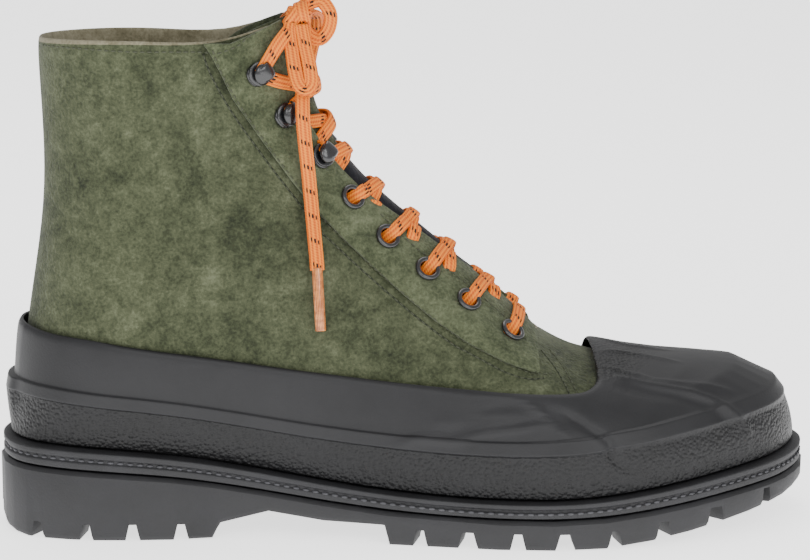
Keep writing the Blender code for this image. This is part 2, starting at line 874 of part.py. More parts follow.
class Walk:
    """A station of the shell, from the welt to its top edge, with what it has climbed and walked."""

    def __init__(self, at, side, count=40):
        parts = [step / count for step in range(count + 1)]
        if at < 1:
            self.path = heel_path(at, side, parts)
        elif at <= len(shell_table):
            self.path = side_path(at, side, parts)
        else:
            self.path = toe_path(at, side, parts)
        self.side = side
        points = [last_point(row, share, side) for row, share in self.path]
        steps = [(after - before).length for before, after in zip(points, points[1:])]
        self.walked = np.concatenate(([0.0], np.cumsum(steps)))
        self.climbed = np.maximum.accumulate([point.z - points[0].z for point in points])
        self.full = float(self.walked[-1])

    def distance(self, climb):
        """How far one walks to climb a height."""
        return float(np.interp(climb, self.climbed, self.walked))

    def point(self, walked):
        rows, shares = zip(*self.path)
        row = float(np.interp(walked, self.walked, rows))
        return last_point(row, float(np.interp(walked, self.walked, shares)), self.side)


def band_thickness(at, level):
    """Wall at the levels of the raised band, with the wedge on the heel's back."""
    if at < tab_edge:
        return shell_wall + heel_tab_rise * tab_shares[level]
    return shell_wall + (band_rise if level in (4, 5) else 0.0)


def grid_normals(rings):
    """Outward normals of a closed run of rings, from the faces around each point."""
    grid = np.array([[tuple(point) for point in ring] for ring in rings])
    around = np.roll(grid, -1, axis=0) - np.roll(grid, 1, axis=0)
    up = np.gradient(grid, axis=1)
    normals = np.cross(around, up)
    normals[:, 0, 2] = 0.0
    return normals / np.linalg.norm(normals, axis=2)[:, :, None]


def lifted(rings, lifts):
    """Rings moved out along their normals; the lowest points stay on the welt."""
    normals = grid_normals(rings)
    moved = []
    for index, ring in enumerate(rings):
        places = []
        for level, point in enumerate(ring):
            places.append(point + Vector(normals[index, level]) * lifts[index][level])
        places[0].z = feather(places[0].x)
        moved.append(places)
    return moved


toe_play = 2.0 * mm          # added over the toe, where the facets are largest
inner_levels = 8


band_levels = (0.0, 4 * mm, 10 * mm, band_low, band_low + band_bevel, band_top, band_top + band_bevel)
tab_shares = (0.0, 0.1, 0.6, 1.0, 1.0, 0.85, 0.0)
upper_levels = 5
edge_bevel = 1.5 * mm
edge_drop = 0.9 * mm         # how much the top edge is thinner


def make_shell():
    outer, inner, outer_lifts, inner_lifts = [], [], [], []
    for side in (-1, 1):
        places = shell_columns()
        for at in places if side < 0 else places[-2:0:-1]:
            walk = Walk(at, side)
            low = [0.0] + [walk.distance(climb) for climb in band_levels[1:]]
            high = list(np.linspace(low[-1], walk.full - edge_bevel, upper_levels + 1)[1:]) + [walk.full]
            outer.append([walk.point(walked) for walked in low + high])
            lifts = [band_thickness(at, level) for level in range(len(low))]
            lifts += [shell_wall] * upper_levels + [shell_wall - edge_drop]
            toe = toe_play * min(max((at - len(shell_table)) / 3, 0), 1)
            outer_lifts.append([gap + lift + 0.8 * toe for lift in lifts])
            inner.append([walk.point(walked) for walked in np.linspace(0, walk.full, inner_levels)])
            inner_lifts.append([gap + facet_play + toe] * inner_levels)
    points, faces = [], []
    count = len(outer)
    high, low = len(outer[0]), inner_levels
    for ring in lifted(outer, outer_lifts) + lifted(inner, inner_lifts):
        points.extend(ring)
    start = count * high
    for index in range(count):
        after = (index + 1) % count
        for level in range(high - 1):
            faces.append((index * high + level, after * high + level, after * high + level + 1, index * high + level + 1))
        for level in range(low - 1):
            faces.append((start + index * low + level, start + index * low + level + 1,
                          start + after * low + level + 1, start + after * low + level))
        faces.append((index * high, start + index * low, start + after * low, after * high))
        faces.append((index * high + high - 1, after * high + high - 1,
                      start + after * low + low - 1, start + index * low + low - 1))
    shade = material("shell_rubber", (0.03, 0.03, 0.033), 0.55)
    return add_object("rubber_shell", mesh_from("rubber_shell", points, faces), shade)


# Facings with the eyelet holes, and the tongue behind them

def seam_share(row, side):
    """Where a section crosses the seam behind the facing."""
    ridge = ridge_point(row)
    base = base_point(row)
    low, high = 0.0, 1.0
    for _ in range(40):
        middle = (low + high) / 2
        along = ridge[0] + middle * (base[0] - ridge[0])
        up = ridge[1] + middle * (base[1] - ridge[1])
        seam_up = heel_seat + seam_height(along / boot_length) * upper_height
        if up > seam_up:
            low = middle
        else:
            high = middle
    return share_at(row, low * math.dist(ridge, base), side)


def seam_height(share):
    first, last = facing_seam_table[0], facing_seam_table[-1]
    if share < first[0]:
        return first[1] + (first[0] - share) * 4.2
    if share > last[0]:
        return last[1]
    return smooth_at(facing_seam_table, share)


def skin_body(name, rows, columns, place, lifts, shade):
    """A panel between two lifted skins of the last; place gives section, share and side."""
    points = []
    for level in (1, 0):
        for row in rows:
            for column in columns:
                section, share, side = place(row, column)
                points.append(last_point(section, share, side, lifts(row, column)[level]))
    wide, long = len(columns), len(rows)
    skin = wide * long
    faces = []
    for row in range(long - 1):
        for column in range(wide - 1):
            here = row * wide + column
            corners = (here, here + 1, here + wide + 1, here + wide)
            faces.append(corners)
            faces.append(tuple(skin + corner for corner in corners[::-1]))
    border = [column for column in range(wide)]
    border += [row * wide + wide - 1 for row in range(1, long)]
    border += [(long - 1) * wide + column for column in range(wide - 2, -1, -1)]
    border += [row * wide for row in range(long - 2, 0, -1)]
    for index, corner in enumerate(border):
        after = border[(index + 1) % len(border)]
        faces.append((corner, skin + corner, skin + after, after))
    return add_object(name, mesh_from(name, points, faces), shade)


facing_seat = gap + facet_play / 2
facing_top = facing_seat + facing_wall
facing_rows = (9.28, 9.34, 9.45, 9.75, *instep_rows, 17.2, *shaft_rows)


def collar_row_at(row_share, side):
    """Section where a run of fixed place between slot and seam meets the collar."""
    low, high = 19.0, len(section_table) - 1.0
    for _ in range(30):
        middle = (low + high) / 2
        point = last_point(middle, row_share(middle), side)
        if point.z < collar_height(point.x):
            low = middle
        else:
            high = middle
    return low


def facing_share(row, column, side):
    section = Section(row, side)
    half = throat_half(row) if row > facing_corner_table[-1][0] else float(np.interp(row, *zip(*facing_corner_table))) * ball_width
    start = section.angle_across(half) / section.end
    return start + (seam_share(row, side) - start) * column


def make_facing(name, side, shade):
    columns = (0, 0.25, 0.5, 0.75, 1.0)
    tops = {column: collar_row_at(lambda row, column=column: facing_share(row, column, side), side) for column in columns}

    def place(row, column):
        height = shaft_row(row, tops[column])
        return height, facing_share(height, column, side), side

    return skin_body(name, facing_rows, columns, place, lambda row, column: (facing_seat, facing_top), shade)


# Eyelets and hooks: share of boot_length, height over the heel seat as a share of upper_height
eyelet_table = (
    (0.6213, 0.262),
    (0.5692, 0.339),
    (0.5203, 0.415),
    (0.4725, 0.496),
    (0.4305, 0.594),
)
hook_table = (
    (0.3925, 0.697),
    (0.3500, 0.807),
    (0.3187, 0.915),
)


def fitting_place(along, height, side):
    row, down = locate(along * boot_length, heel_seat + height * upper_height)
    return row, share_at(row, down, side)


def fitting_frame(row, share, side, lift):
    """Matrix with Z out of the last and Y towards the throat."""
    normal = last_normal(row, share, side)
    throat = last_point(row, share - 0.01, side) - last_point(row, share + 0.01, side)
    throat = (throat - normal * throat.dot(normal)).normalized()
    across = throat.cross(normal)
    turn = Matrix((across, throat, normal)).transposed().to_4x4()
    turn.translation = in_frame(last_point(row, share, side, lift))
    return turn


def turned(name, profile, steps):
    """A closed profile of (radius, height) turned around Z."""
    points, faces = [], []
    for step in range(steps):
        angle = 2 * math.pi * step / steps
        points.extend((radius * math.cos(angle), radius * math.sin(angle), up) for radius, up in profile)
    count = len(profile)
    for step in range(steps):
        after = (step + 1) % steps
        for index in range(count):
            follow = (index + 1) % count
            faces.append((step * count + index, after * count + index, after * count + follow, step * count + follow))
    mesh = bpy.data.meshes.new(name)
    mesh.from_pydata(points, [], faces)
    shape = bmesh.new()
    shape.from_mesh(mesh)
    bmesh.ops.recalc_face_normals(shape, faces=shape.faces)
    shape.to_mesh(mesh)
    shape.free()
    mesh.shade_smooth()
    mesh.set_sharp_from_angle(angle=math.radians(40))
    return mesh


fitting_gap = gap + 0.15 * mm   # the facing is slightly hollow along the instep
eyelet_steps = 8
hole_play = 0.5 * mm
hole_depth = 9 * mm


def add_fittings(upper, facings):
    metal = material("black_enamel", (0.02, 0.02, 0.025), 0.35, 0.6)
    barrel = eyelet_bore + eyelet_rim
    reach = facing_top + fitting_gap + suede_wall + 0.3 * mm
    profile = ((eyelet_bore, eyelet_lip), (eyelet_radius - 0.6 * mm, eyelet_lip), (eyelet_radius, 0.0),
               (barrel, 0.0), (barrel, -reach), (eyelet_bore, -reach))
    eyelet = turned("eyelet", profile, eyelet_steps)
    hook = hook_mesh()
    drill = bmesh.new()
    for side, name in ((-1, "lateral"), (1, "medial")):
        for number, (along, height) in enumerate(eyelet_table, 1):
            row, share = fitting_place(along, height, side)
            frame = fitting_frame(row, share, side, facing_top + fitting_gap)
            item = add_object(f"eyelet_{name}_{number}", eyelet, None if eyelet.materials else metal)
            item.matrix_world = frame
            hole = frame @ Matrix.Translation((0, 0, -hole_depth / 4))
            bmesh.ops.create_cone(drill, cap_ends=True, segments=eyelet_steps, radius1=barrel + hole_play,
                                  radius2=barrel + hole_play, depth=hole_depth, matrix=hole)
        for number, (along, height) in enumerate(hook_table, 1):
            row, share = fitting_place(along, height, side)
            item = add_object(f"hook_{name}_{number}", hook, None if hook.materials else metal)
            item.matrix_world = fitting_frame(row, share, side, facing_top + fitting_gap)
    mesh = bpy.data.meshes.new("eyelet_holes")
    drill.to_mesh(mesh)
    drill.free()
    holes = add_object("eyelet_holes", mesh, None, cutters)
    for item in (upper, *facings):
        cut(item, holes)


def hook_mesh():
    """A strip that is riveted down, bends up on the throat's side and returns over the lace."""
    # shares of hook_reach, of hook_height and of eyelet_radius: place, height, half width
    strip = (
        (-0.98, 0.10, 0.47),
        (-0.50, 0.10, 0.89),
        (0.18, 0.10, 0.94),
        (0.70, 0.12, 0.70),
        (0.93, 0.30, 0.62),
        (1.00, 0.59, 0.62),
        (0.84, 0.88, 0.62),
        (0.46, 1.00, 0.64),
        (-0.05, 0.96, 0.64),
        (-0.41, 0.88, 0.43),
    )
    strip = [(place * hook_reach, up * hook_height, half * eyelet_radius) for place, up, half in strip]
    points, faces = [], []
    for index, (place, up, half) in enumerate(strip):
        before = strip[max(index - 1, 0)]
        after = strip[min(index + 1, len(strip) - 1)]
        along = Vector((0, after[0] - before[0], after[1] - before[1])).normalized()
        out = Vector((0, -along.z, along.y)) * hook_strip / 2
        for across, lift in ((-half, -1), (half, -1), (half, 1), (-half, 1)):
            points.append(Vector((across, place, up)) + out * lift)
    for index in range(len(strip) - 1):
        for corner in range(4):
            follow = (corner + 1) % 4
            faces.append((4 * index + corner, 4 * index + follow, 4 * index + 4 + follow, 4 * index + 4 + corner))
    last = 4 * (len(strip) - 1)
    faces.append((0, 1, 2, 3))
    faces.append((last, last + 1, last + 2, last + 3))
    mesh = bpy.data.meshes.new("hook")
    mesh.from_pydata(points, [], faces)
    shape = bmesh.new()
    shape.from_mesh(mesh)
    bmesh.ops.recalc_face_normals(shape, faces=shape.faces)
    shape.to_mesh(mesh)
    shape.free()
    mesh.shade_smooth()
    mesh.set_sharp_from_angle(angle=math.radians(50))
    return mesh


tongue_rows = (8.5, 9.0, 9.4, 10, 11, 12, 13, 14, 15.5, 17, 19, 21, 22.5, 23.8)
tongue_under = suede_wall + 1.5 * mm     # how deep the tongue lies behind the upper
tongue_face = 0.5 * mm       # how deep its raised middle lies
tongue_margin = 12 * mm      # what it is wider than the throat by, on each side


def tongue_across(row):
    """Half widths of the tongue's columns, from its edge to its middle."""
    slot = throat_half(max(row, 9.5))
    rise = slot - 4.6 * mm
    return slot + tongue_margin, slot - 1.9 * mm, rise, 0.35 * rise


def make_tongue():
    columns = (-1, -2, -3, -4, 4, 3, 2, 1)

    def place(row, column):
        section = Section(row, column)
        across = tongue_across(row)[abs(column) - 1]
        return row, section.angle_across(across) / section.end, column

    def lifts(row, column):
        raised_here = abs(column) > 2 and row > 9.9
        depth = tongue_face if raised_here else tongue_under
        return -depth - tongue_wall, -depth

    shade = material("tongue_suede", (0.05, 0.05, 0.04), 0.95)
    return skin_body("tongue", tongue_rows, columns, place, lifts, shade)


# Lace: crossings between the facings, then the knot with its loops and ends

def surface_point(row, across, lift):
    """Point over the last at a distance from its middle plane, and the normal there."""
    side = -1 if across < 0 else 1
    section = Section(row, side)
    share = section.angle_across(max(abs(across - section.centre), 0.5 * mm)) / section.end
    return last_point(row, share, side, lift), last_normal(row, share, side)


strap_corners = ((-0.5, -0.5), (0.5, -0.5), (0.5, 0.5), (-0.5, 0.5))


def strap(points, faces, route, steps):
    """Adds a flat strand along a smooth curve through (point, normal) pairs."""
    rings = []
    for step in range(steps + 1):
        at = step * (len(route) - 1) / steps
        place = Vector([smooth([pair[0] for pair in route], axis, at) for axis in range(3)])
        normal = Vector([smooth([pair[1] for pair in route], axis, at) for axis in range(3)])
        rings.append((place, normal))
    base = len(points)
    for index, (place, normal) in enumerate(rings):
        before = rings[max(index - 1, 0)][0]
        after = rings[min(index + 1, len(rings) - 1)][0]
        along = (after - before).normalized()
        wide = along.cross(normal).normalized()
        out = wide.cross(along).normalized()
        for across, lift in strap_corners:
            points.append(place + wide * across * lace_width + out * lift * lace_thickness)
    count = len(strap_corners)
    for index in range(steps):
        for corner in range(count):
            follow = (corner + 1) % count
            one, two = base + count * index, base + count * (index + 1)
            faces.append((one + corner, one + follow, two + follow, two + corner))
    faces.append(tuple(base + corner for corner in range(count)))
    faces.append(tuple(base + count * steps + corner for corner in range(count)))


lace_over = facing_top + lace_clearance + lace_thickness / 2
lace_middle = gap + lace_thickness / 2 + 0.4 * mm
lace_under = lace_thickness / 2
strand_end = 1.2 * mm        # from a strand's end to its eyelet or hook
strand_steps = 6


def fastening(number, side):
    """Section and distance from the middle of an eyelet or hook, counted from the throat's bottom."""
    table = eyelet_table + hook_table
    row, share = fitting_place(*table[number], side)
    return row, last_point(row, share, side).y


def strand_across(number, side):
    """Where a strand lies beside its eyelet, or on the facing's edge near a hook."""
    row, across = fastening(number, side)
    if number < len(eyelet_table):
        return across - side * (eyelet_radius + strand_end)
    return side * (throat_half(row) + 1.5 * mm)


def crossing_route(number, side):
    """From under one facing's edge, over the tongue and the other facing, up to the next fastening."""
    row, _ = fastening(number, side)
    next_row, _ = fastening(number + 1, -side)
    rise = next_row - row
    half = throat_half(row)
    hook_below = number >= len(eyelet_table)
    hook_above = number + 1 >= len(eyelet_table)
    edge, end = (0.52, 0.55) if hook_above else (0.78, 0.90)
    if hook_below:
        route = [surface_point(row + 0.34 * rise, strand_across(number, side), lace_over)]
    else:
        route = [surface_point(row + 0.32 * rise, side * (half - 4.4 * mm), lace_under)]
    route.append(surface_point(row + 0.40 * rise, side * 0.3 * half, lace_middle))
    route.append(surface_point(row + 0.46 * rise, -side * 0.6 * mm, lace_middle + 0.3 * mm))
    route.append(surface_point(row + (edge + 0.46) / 2 * rise, -side * 0.55 * half, lace_middle + 0.6 * mm))
    if not hook_above:
        route.append(surface_point(row + edge * rise, -side * (half + 0.8 * mm), lace_over))
    route.append(surface_point(row + end * rise, strand_across(number + 1, -side), lace_over))
    return route


def make_crossings(shade):
    for number in range(len(eyelet_table) + len(hook_table) - 1):
        strands = []
        for side in (-1, 1):
            points, faces = [], []
            above = Vector((0, 0, 0.17 * mm)) * (side + 1)
            route = [(point + above, normal) for point, normal in crossing_route(number, side)]
            strap(points, faces, route, strand_steps)
            strands.append(mesh_from(f"strand_{side}", points, faces))
        crossing = add_object(f"lace_crossing_{number + 1}", strands[0], shade)
        other = add_object(f"other_strand_{number + 1}", strands[1], None, cutters)
        cut(crossing, other, "UNION")


def make_bar(name, number, shade, start_rise=0.0, rise=0.0):
    """A bar of lace between the two fastenings of one row; a rise lifts it to the knot."""
    row, _ = fastening(number, -1)
    edge_rise = (start_rise + 2 * rise) / 3
    half = throat_half(row)
    route = [
        surface_point(row + start_rise, strand_across(number, -1), lace_over),
        surface_point(row + edge_rise, -0.8 * half, lace_middle + 1.7 * mm),
        surface_point(row + rise, 0.6 * mm, lace_middle + 0.8 * mm),
        surface_point(row + edge_rise, 0.8 * half, lace_middle + 1.7 * mm),
        surface_point(row + start_rise, strand_across(number, 1), lace_over),
    ]
    points, faces = [], []
    strap(points, faces, route, strand_steps)
    return add_object(name, mesh_from(name, points, faces), shade)


# Routes of the free lace in millimetres: from the heel's back, across, up
ring_route = ((118.0, -20.2, 194.4), (121.4, -20.8, 195.4), (124.4, -21.0, 190.9), (124.0, -20.8, 186.0),
              (121.8, -20.4, 182.6), (119.8, -20.2, 183.4), (119.6, -20.0, 187.0))
fold_route = ((109.8, -24.8, 185.4), (110.6, -26.8, 178.0), (111.8, -28.8, 170.0), (113.2, -29.8, 165.9),
              (115.6, -30.0, 164.6), (117.5, -29.6, 167.0), (116.9, -28.8, 173.0), (115.4, -27.0, 180.0),
              (114.0, -25.0, 185.4))
end_route = ((115.0, -20.4, 185.8), (115.0, -21.4, 180.0), (114.6, -23.2, 172.0), (114.3, -25.5, 164.0),
             (114.3, -28.2, 156.0), (114.8, -28.4, 148.0), (115.6, -27.8, 140.0), (116.4, -27.6, 132.0),
             (117.2, -28.6, 123.0), (118.2, -31.2, 112.0), (119.0, -33.4, 103.0), (119.2, -34.0, 99.5))
far_route = ((113.8, -15.6, 190.6), (117.6, -8.0, 191.0), (119.6, 1.0, 188.4), (119.4, 10.0, 182.4),
             (117.4, 19.0, 174.0), (115.6, 25.6, 164.0), (114.8, 28.4, 156.0), (114.8, 28.8, 148.0),
             (115.6, 28.2, 140.0), (116.4, 28.0, 132.0), (117.2, 28.9, 123.0), (118.2, 31.5, 112.0),
             (119.0, 33.6, 103.0), (119.2, 34.2, 99.5))
knot_place = (113.0, -20.0, 190.4)
knot_radii = (6.5, 3.6, 4.0)


def cord_point(place):
    return in_frame([value * mm for value in place])


def make_cord(name, route, spacing, shade):
    """A tube along a smooth curve through the route, with its points evenly spaced."""
    dense = [tuple(smooth(route, axis, step / 10) for axis in range(3)) for step in range(10 * (len(route) - 1) + 1)]
    walked = np.concatenate(([0.0], np.cumsum([math.dist(one, two) for one, two in zip(dense, dense[1:])])))
    count = max(round(walked[-1] * mm / spacing), 3)
    marks = np.linspace(0, walked[-1], count + 1)
    places = [[float(np.interp(mark, walked, [point[axis] for point in dense])) for axis in range(3)] for mark in marks]
    curve = bpy.data.curves.new(name, "CURVE")
    curve.dimensions = "3D"
    curve.bevel_depth = cord_radius
    curve.bevel_resolution = 2
    curve.use_fill_caps = True
    line = curve.splines.new("POLY")
    line.points.add(count)
    for point, place in zip(line.points, places):
        point.co = (*cord_point(place), 1)
    curve.materials.append(shade)
    boot.objects.link(bpy.data.objects.new(name, curve))


def make_aglet(name, route, shade):
    """A stiff tip that goes on where the lace ends, straight down its last direction."""
    end = Vector([value * mm for value in route[-1]])
    along = (end - Vector([value * mm for value in route[-4]])).normalized()
    body = bmesh.new()
    bmesh.ops.create_cone(body, cap_ends=True, segments=8, radius1=aglet_radius, radius2=aglet_radius,
                          depth=aglet_length)
    mesh = bpy.data.meshes.new(name)
    body.to_mesh(mesh)
    body.free()
    mesh.shade_smooth()
    mesh.set_sharp_from_angle(angle=math.radians(60))
    tip = add_object(name, mesh, shade)
    turn = along.to_track_quat("Z", "Y").to_matrix().to_4x4()
    turn.translation = in_frame(end + along * (gap + aglet_length / 2))
    tip.matrix_world = turn


def make_knot(shade):
    body = bmesh.new()
    bmesh.ops.create_uvsphere(body, u_segments=10, v_segments=6, radius=1)
    bmesh.ops.scale(body, vec=Vector(knot_radii) * mm, verts=body.verts)
    mesh = bpy.data.meshes.new("lace_knot")
    body.to_mesh(mesh)
    body.free()
    mesh.shade_smooth()
    add_object("lace_knot", mesh, shade).location = cord_point(knot_place)


def make_bow(shade):
    make_knot(shade)
    make_cord("lace_loop_ring", ring_route, 3.6 * mm, shade)
    make_cord("lace_loop_front", fold_route, 4.2 * mm, shade)
    make_cord("lace_end_lateral", end_route, 7 * mm, shade)
    make_cord("lace_end_medial", far_route, 7 * mm, shade)
    clear = material("aglet_plastic", (0.85, 0.45, 0.2), 0.3)
    make_aglet("aglet_lateral", end_route, clear)
    make_aglet("aglet_medial", far_route, clear)


make_outsole()
make_midsole()
make_insole()
the_upper = make_upper()
make_shell()
suede = the_upper.data.materials[0]
the_facings = (make_facing("facing_lateral", -1, suede), make_facing("facing_medial", 1, suede))
make_tongue()
add_fittings(the_upper, the_facings)
orange = material("lace_orange", (0.78, 0.30, 0.08), 0.85)
make_bar("lace_bar_bottom", 0, orange)
make_crossings(orange)
make_bar("lace_bar_top", len(eyelet_table) + len(hook_table) - 1, orange, 0.5, 1.0)
make_bow(orange)
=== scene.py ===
import math
import numpy as np
import bpy
import bmesh
from mathutils import Matrix, Vector
from mathutils.bvhtree import BVHTree


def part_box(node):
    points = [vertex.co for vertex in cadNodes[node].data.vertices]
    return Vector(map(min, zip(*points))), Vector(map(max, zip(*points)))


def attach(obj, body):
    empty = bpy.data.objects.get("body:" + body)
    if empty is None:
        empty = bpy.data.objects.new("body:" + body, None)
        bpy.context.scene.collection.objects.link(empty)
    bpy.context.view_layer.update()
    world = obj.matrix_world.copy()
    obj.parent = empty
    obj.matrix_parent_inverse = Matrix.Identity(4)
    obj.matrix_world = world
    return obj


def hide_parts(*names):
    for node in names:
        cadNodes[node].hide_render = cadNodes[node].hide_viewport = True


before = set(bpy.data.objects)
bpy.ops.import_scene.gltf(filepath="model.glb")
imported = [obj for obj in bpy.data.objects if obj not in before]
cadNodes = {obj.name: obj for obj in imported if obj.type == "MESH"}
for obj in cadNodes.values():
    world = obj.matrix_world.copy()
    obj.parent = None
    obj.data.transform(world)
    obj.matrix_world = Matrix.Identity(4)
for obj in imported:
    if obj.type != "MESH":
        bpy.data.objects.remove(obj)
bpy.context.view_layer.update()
mm = 0.001
heelBack = 152.5  # the routes below count millimetres from the heel's back
print("frame loaded,", len(cadNodes), "solids")


# camera, as the photo was taken: a long lens, a little above the boot
cameraSet = {"lens": 117.33, "distance": 0.9744, "height": 0.2582, "pitch": 9.8, "turn": -2.0, "slide": -0.00044}
photoSize = (810, 560)
turned = Matrix.Rotation(math.radians(cameraSet["turn"]), 3, "Z")
eye = turned @ Vector((0, -cameraSet["distance"], cameraSet["height"])) + Vector((cameraSet["slide"], 0, 0))
bpy.ops.object.camera_add(
    location=eye, rotation=(math.radians(90 - cameraSet["pitch"]), 0, math.radians(cameraSet["turn"])))
cameraObject = bpy.context.object
cameraObject.data.lens = cameraSet["lens"]
cameraObject.data.sensor_width = 36
bpy.context.scene.camera = cameraObject


def photoRay(x, y):
    focal = cameraSet["lens"] / 36 * photoSize[0]
    pitch = math.radians(cameraSet["pitch"])
    ahead = Vector((0, math.cos(pitch), -math.sin(pitch)))
    up = Vector((0, math.sin(pitch), math.cos(pitch)))
    sideways = Vector((1, 0, 0)) * (x - photoSize[0] / 2) / focal
    return (turned @ (ahead + sideways + up * (photoSize[1] / 2 - y) / focal)).normalized()


# materials: colours are sRGB hex, pattern sizes are millimetres
def linear(code):
    values = [int(code[i:i + 2], 16) / 255 for i in (1, 3, 5)]
    return [v / 12.92 if v <= 0.04045 else ((v + 0.055) / 1.055) ** 2.4 for v in values] + [1.0]


def addNode(material, kind, settings=None, links=None):
    node = material.node_tree.nodes.new(kind)
    for key, value in (settings or {}).items():
        if key == "stops":  # places and colours along a ramp
            elements = node.color_ramp.elements
            while len(elements) < len(value):
                elements.new(0.5)
            for element, (place, code) in zip(elements, value):
                element.position = place
                element.color = linear(code)
        elif isinstance(key, int) or key in node.inputs:
            node.inputs[key].default_value = value
        else:
            setattr(node, key, value)
    for key, socket in (links or {}).items():
        material.node_tree.links.new(socket, node.inputs[key])
    return node


def newMaterial(name, settings):
    material = bpy.data.materials.new(name)
    material.use_nodes = True
    material.node_tree.nodes.clear()
    shader = addNode(material, "ShaderNodeBsdfPrincipled", settings)
    addNode(material, "ShaderNodeOutputMaterial", None, {"Surface": shader.outputs[0]})
    return material, shader


def feed(material, shader, sockets):
    for name, socket in sockets.items():
        material.node_tree.links.new(socket, shader.inputs[name])


# split suede: a brushed nap about 1 mm long that lies light or dark in patches and hardly shines
suedeSet = {"patch": 24, "streak": 4.5, "nap": 1.1, "places": (0.36, 0.47, 0.58, 0.72)}


def makeSuede(name, colours, napStrength=0.85, places=suedeSet["places"]):
    material, shader = newMaterial(name, {"Roughness": 0.93, "Sheen Weight": 0.1, "Sheen Roughness": 0.5,
                                          "Specular IOR Level": 0.15})
    where = {"Vector": addNode(material, "ShaderNodeTexCoord").outputs["Object"]}
    patches = addNode(material, "ShaderNodeTexNoise", {"Scale": 1000 / suedeSet["patch"], "Detail": 3.0,
                                                       "Roughness": 0.55, "Distortion": 0.6}, where)
    streaks = addNode(material, "ShaderNodeTexNoise", {"Scale": 1000 / suedeSet["streak"], "Detail": 4.0,
                                                       "Roughness": 0.6}, where)
    nap = addNode(material, "ShaderNodeTexNoise", {"Scale": 1000 / suedeSet["nap"], "Detail": 2.0,
                                                   "Roughness": 0.6}, where)
    part = addNode(material, "ShaderNodeMath", {"operation": "MULTIPLY", 1: 0.36}, {0: patches.outputs["Fac"]})
    blend = addNode(material, "ShaderNodeMath", {"operation": "MULTIPLY_ADD", 1: 0.36},
                    {0: streaks.outputs["Fac"], 2: part.outputs[0]})
    mixed = addNode(material, "ShaderNodeMath", {"operation": "MULTIPLY_ADD", 1: 0.34},
                    {0: nap.outputs["Fac"], 2: blend.outputs[0]})
    colour = addNode(material, "ShaderNodeValToRGB", {"stops": tuple(zip(places, colours))},
                     {"Fac": mixed.outputs[0]})
    soft = addNode(material, "ShaderNodeBump", {"Strength": 0.35, "Distance": 0.0012},
                   {"Height": streaks.outputs["Fac"]})
    fine = addNode(material, "ShaderNodeBump", {"Strength": napStrength, "Distance": 0.0006},
                   {"Height": nap.outputs["Fac"], "Normal": soft.outputs[0]})
    feed(material, shader, {"Base Color": colour.outputs[0], "Normal": fine.outputs[0]})
    return material


suede = makeSuede("greenSplitSuede", ("#24281D", "#383D2B", "#4B503B", "#626750"))
# the same hide, painted paler on the facings as painted light and darker on the tongue as painted shade
litFacingSuede = makeSuede("paintedLightFacing", ("#2A2F20", "#3F4531", "#545A43", "#6B7058"))
shadedTongueSuede = makeSuede("paintedShadeTongue", ("#1C2016", "#2E3323", "#414631", "#545A43"))
# napped synthetic lining: worn dark taupe, flatter than the suede
lining = makeSuede("taupeLining", ("#57523F", "#6A6551", "#7C7763", "#8D8874"), 0.3)
# matt black knit of the insole, also laid on the lower tongue as painted shade: nearly even, so only its nap shows
knitAndTongueShade = makeSuede("insoleKnitAndTongueShade", ("#121316", "#191A1E", "#212227", "#2A2B30"), 0.4, (0.36, 0.5, 0.62, 0.75))


# moulded natural rubber with a satin bloom, charcoal rather than black, and pebbled below the band; the smooth
# rubber above the pebbles is painted lighter, a painted highlight, and the pebbled rubber darker; the pebbles are
# drawn coarser than the real ones so that they show
rubberSet = {"low": "#0B0B0C", "smooth": "#151517", "high": "#1F1F21", "pebble": 1.3, "grain": 0.9}


def makeShellRubber():
    material, shader = newMaterial("mouldedRubber", {"Roughness": 0.46, "IOR": 1.52, "Specular IOR Level": 0.32,
                                                     "Coat Weight": 0.04, "Coat Roughness": 0.3})
    where = {"Vector": addNode(material, "ShaderNodeTexCoord").outputs["Object"]}
    zone = addNode(material, "ShaderNodeAttribute", {"attribute_name": "pebbled"})
    cloud = addNode(material, "ShaderNodeTexNoise", {"Scale": 38.0, "Detail": 4.0, "Roughness": 0.6}, where)
    # painted highlight: the smooth rubber above the pebbles runs from smooth to high, lighter than the pebbled
    # rubber below
    band = addNode(material, "ShaderNodeValToRGB", {
        "stops": ((0.3, rubberSet["smooth"]), (0.7, rubberSet["high"]))}, {"Fac": cloud.outputs["Fac"]})
    below = addNode(material, "ShaderNodeValToRGB", {
        "stops": ((0.3, rubberSet["low"]), (0.7, rubberSet["smooth"]))}, {"Fac": cloud.outputs["Fac"]})
    colour = addNode(material, "ShaderNodeMix", {"data_type": "RGBA"},
                     {0: zone.outputs["Fac"], 6: band.outputs[0], 7: below.outputs[0]})
    cells = addNode(material, "ShaderNodeTexVoronoi", {"Scale": 1000 / rubberSet["pebble"], "feature": "SMOOTH_F1",
                                                       "Smoothness": 0.4}, where)
    grain = addNode(material, "ShaderNodeTexNoise", {"Scale": 1000 / rubberSet["grain"], "Detail": 3.0,
                                                     "Roughness": 0.6}, where)
    both = addNode(material, "ShaderNodeMath", {"operation": "MULTIPLY"},
                   {0: cells.outputs[0], 1: zone.outputs["Fac"]})
    pebbles = addNode(material, "ShaderNodeBump", {"Strength": 0.8, "Distance": 0.0007, "invert": True},
                      {"Height": both.outputs[0]})
    fine = addNode(material, "ShaderNodeBump", {"Strength": 0.22, "Distance": 0.0004},
                   {"Height": grain.outputs["Fac"], "Normal": pebbles.outputs[0]})
    rough = addNode(material, "ShaderNodeMapRange", {3: 0.44, 4: 0.58}, {0: cloud.outputs["Fac"]})
    feed(material, shader, {"Base Color": colour.outputs[2], "Normal": fine.outputs[0],
                            "Roughness": rough.outputs[0]})
    return material


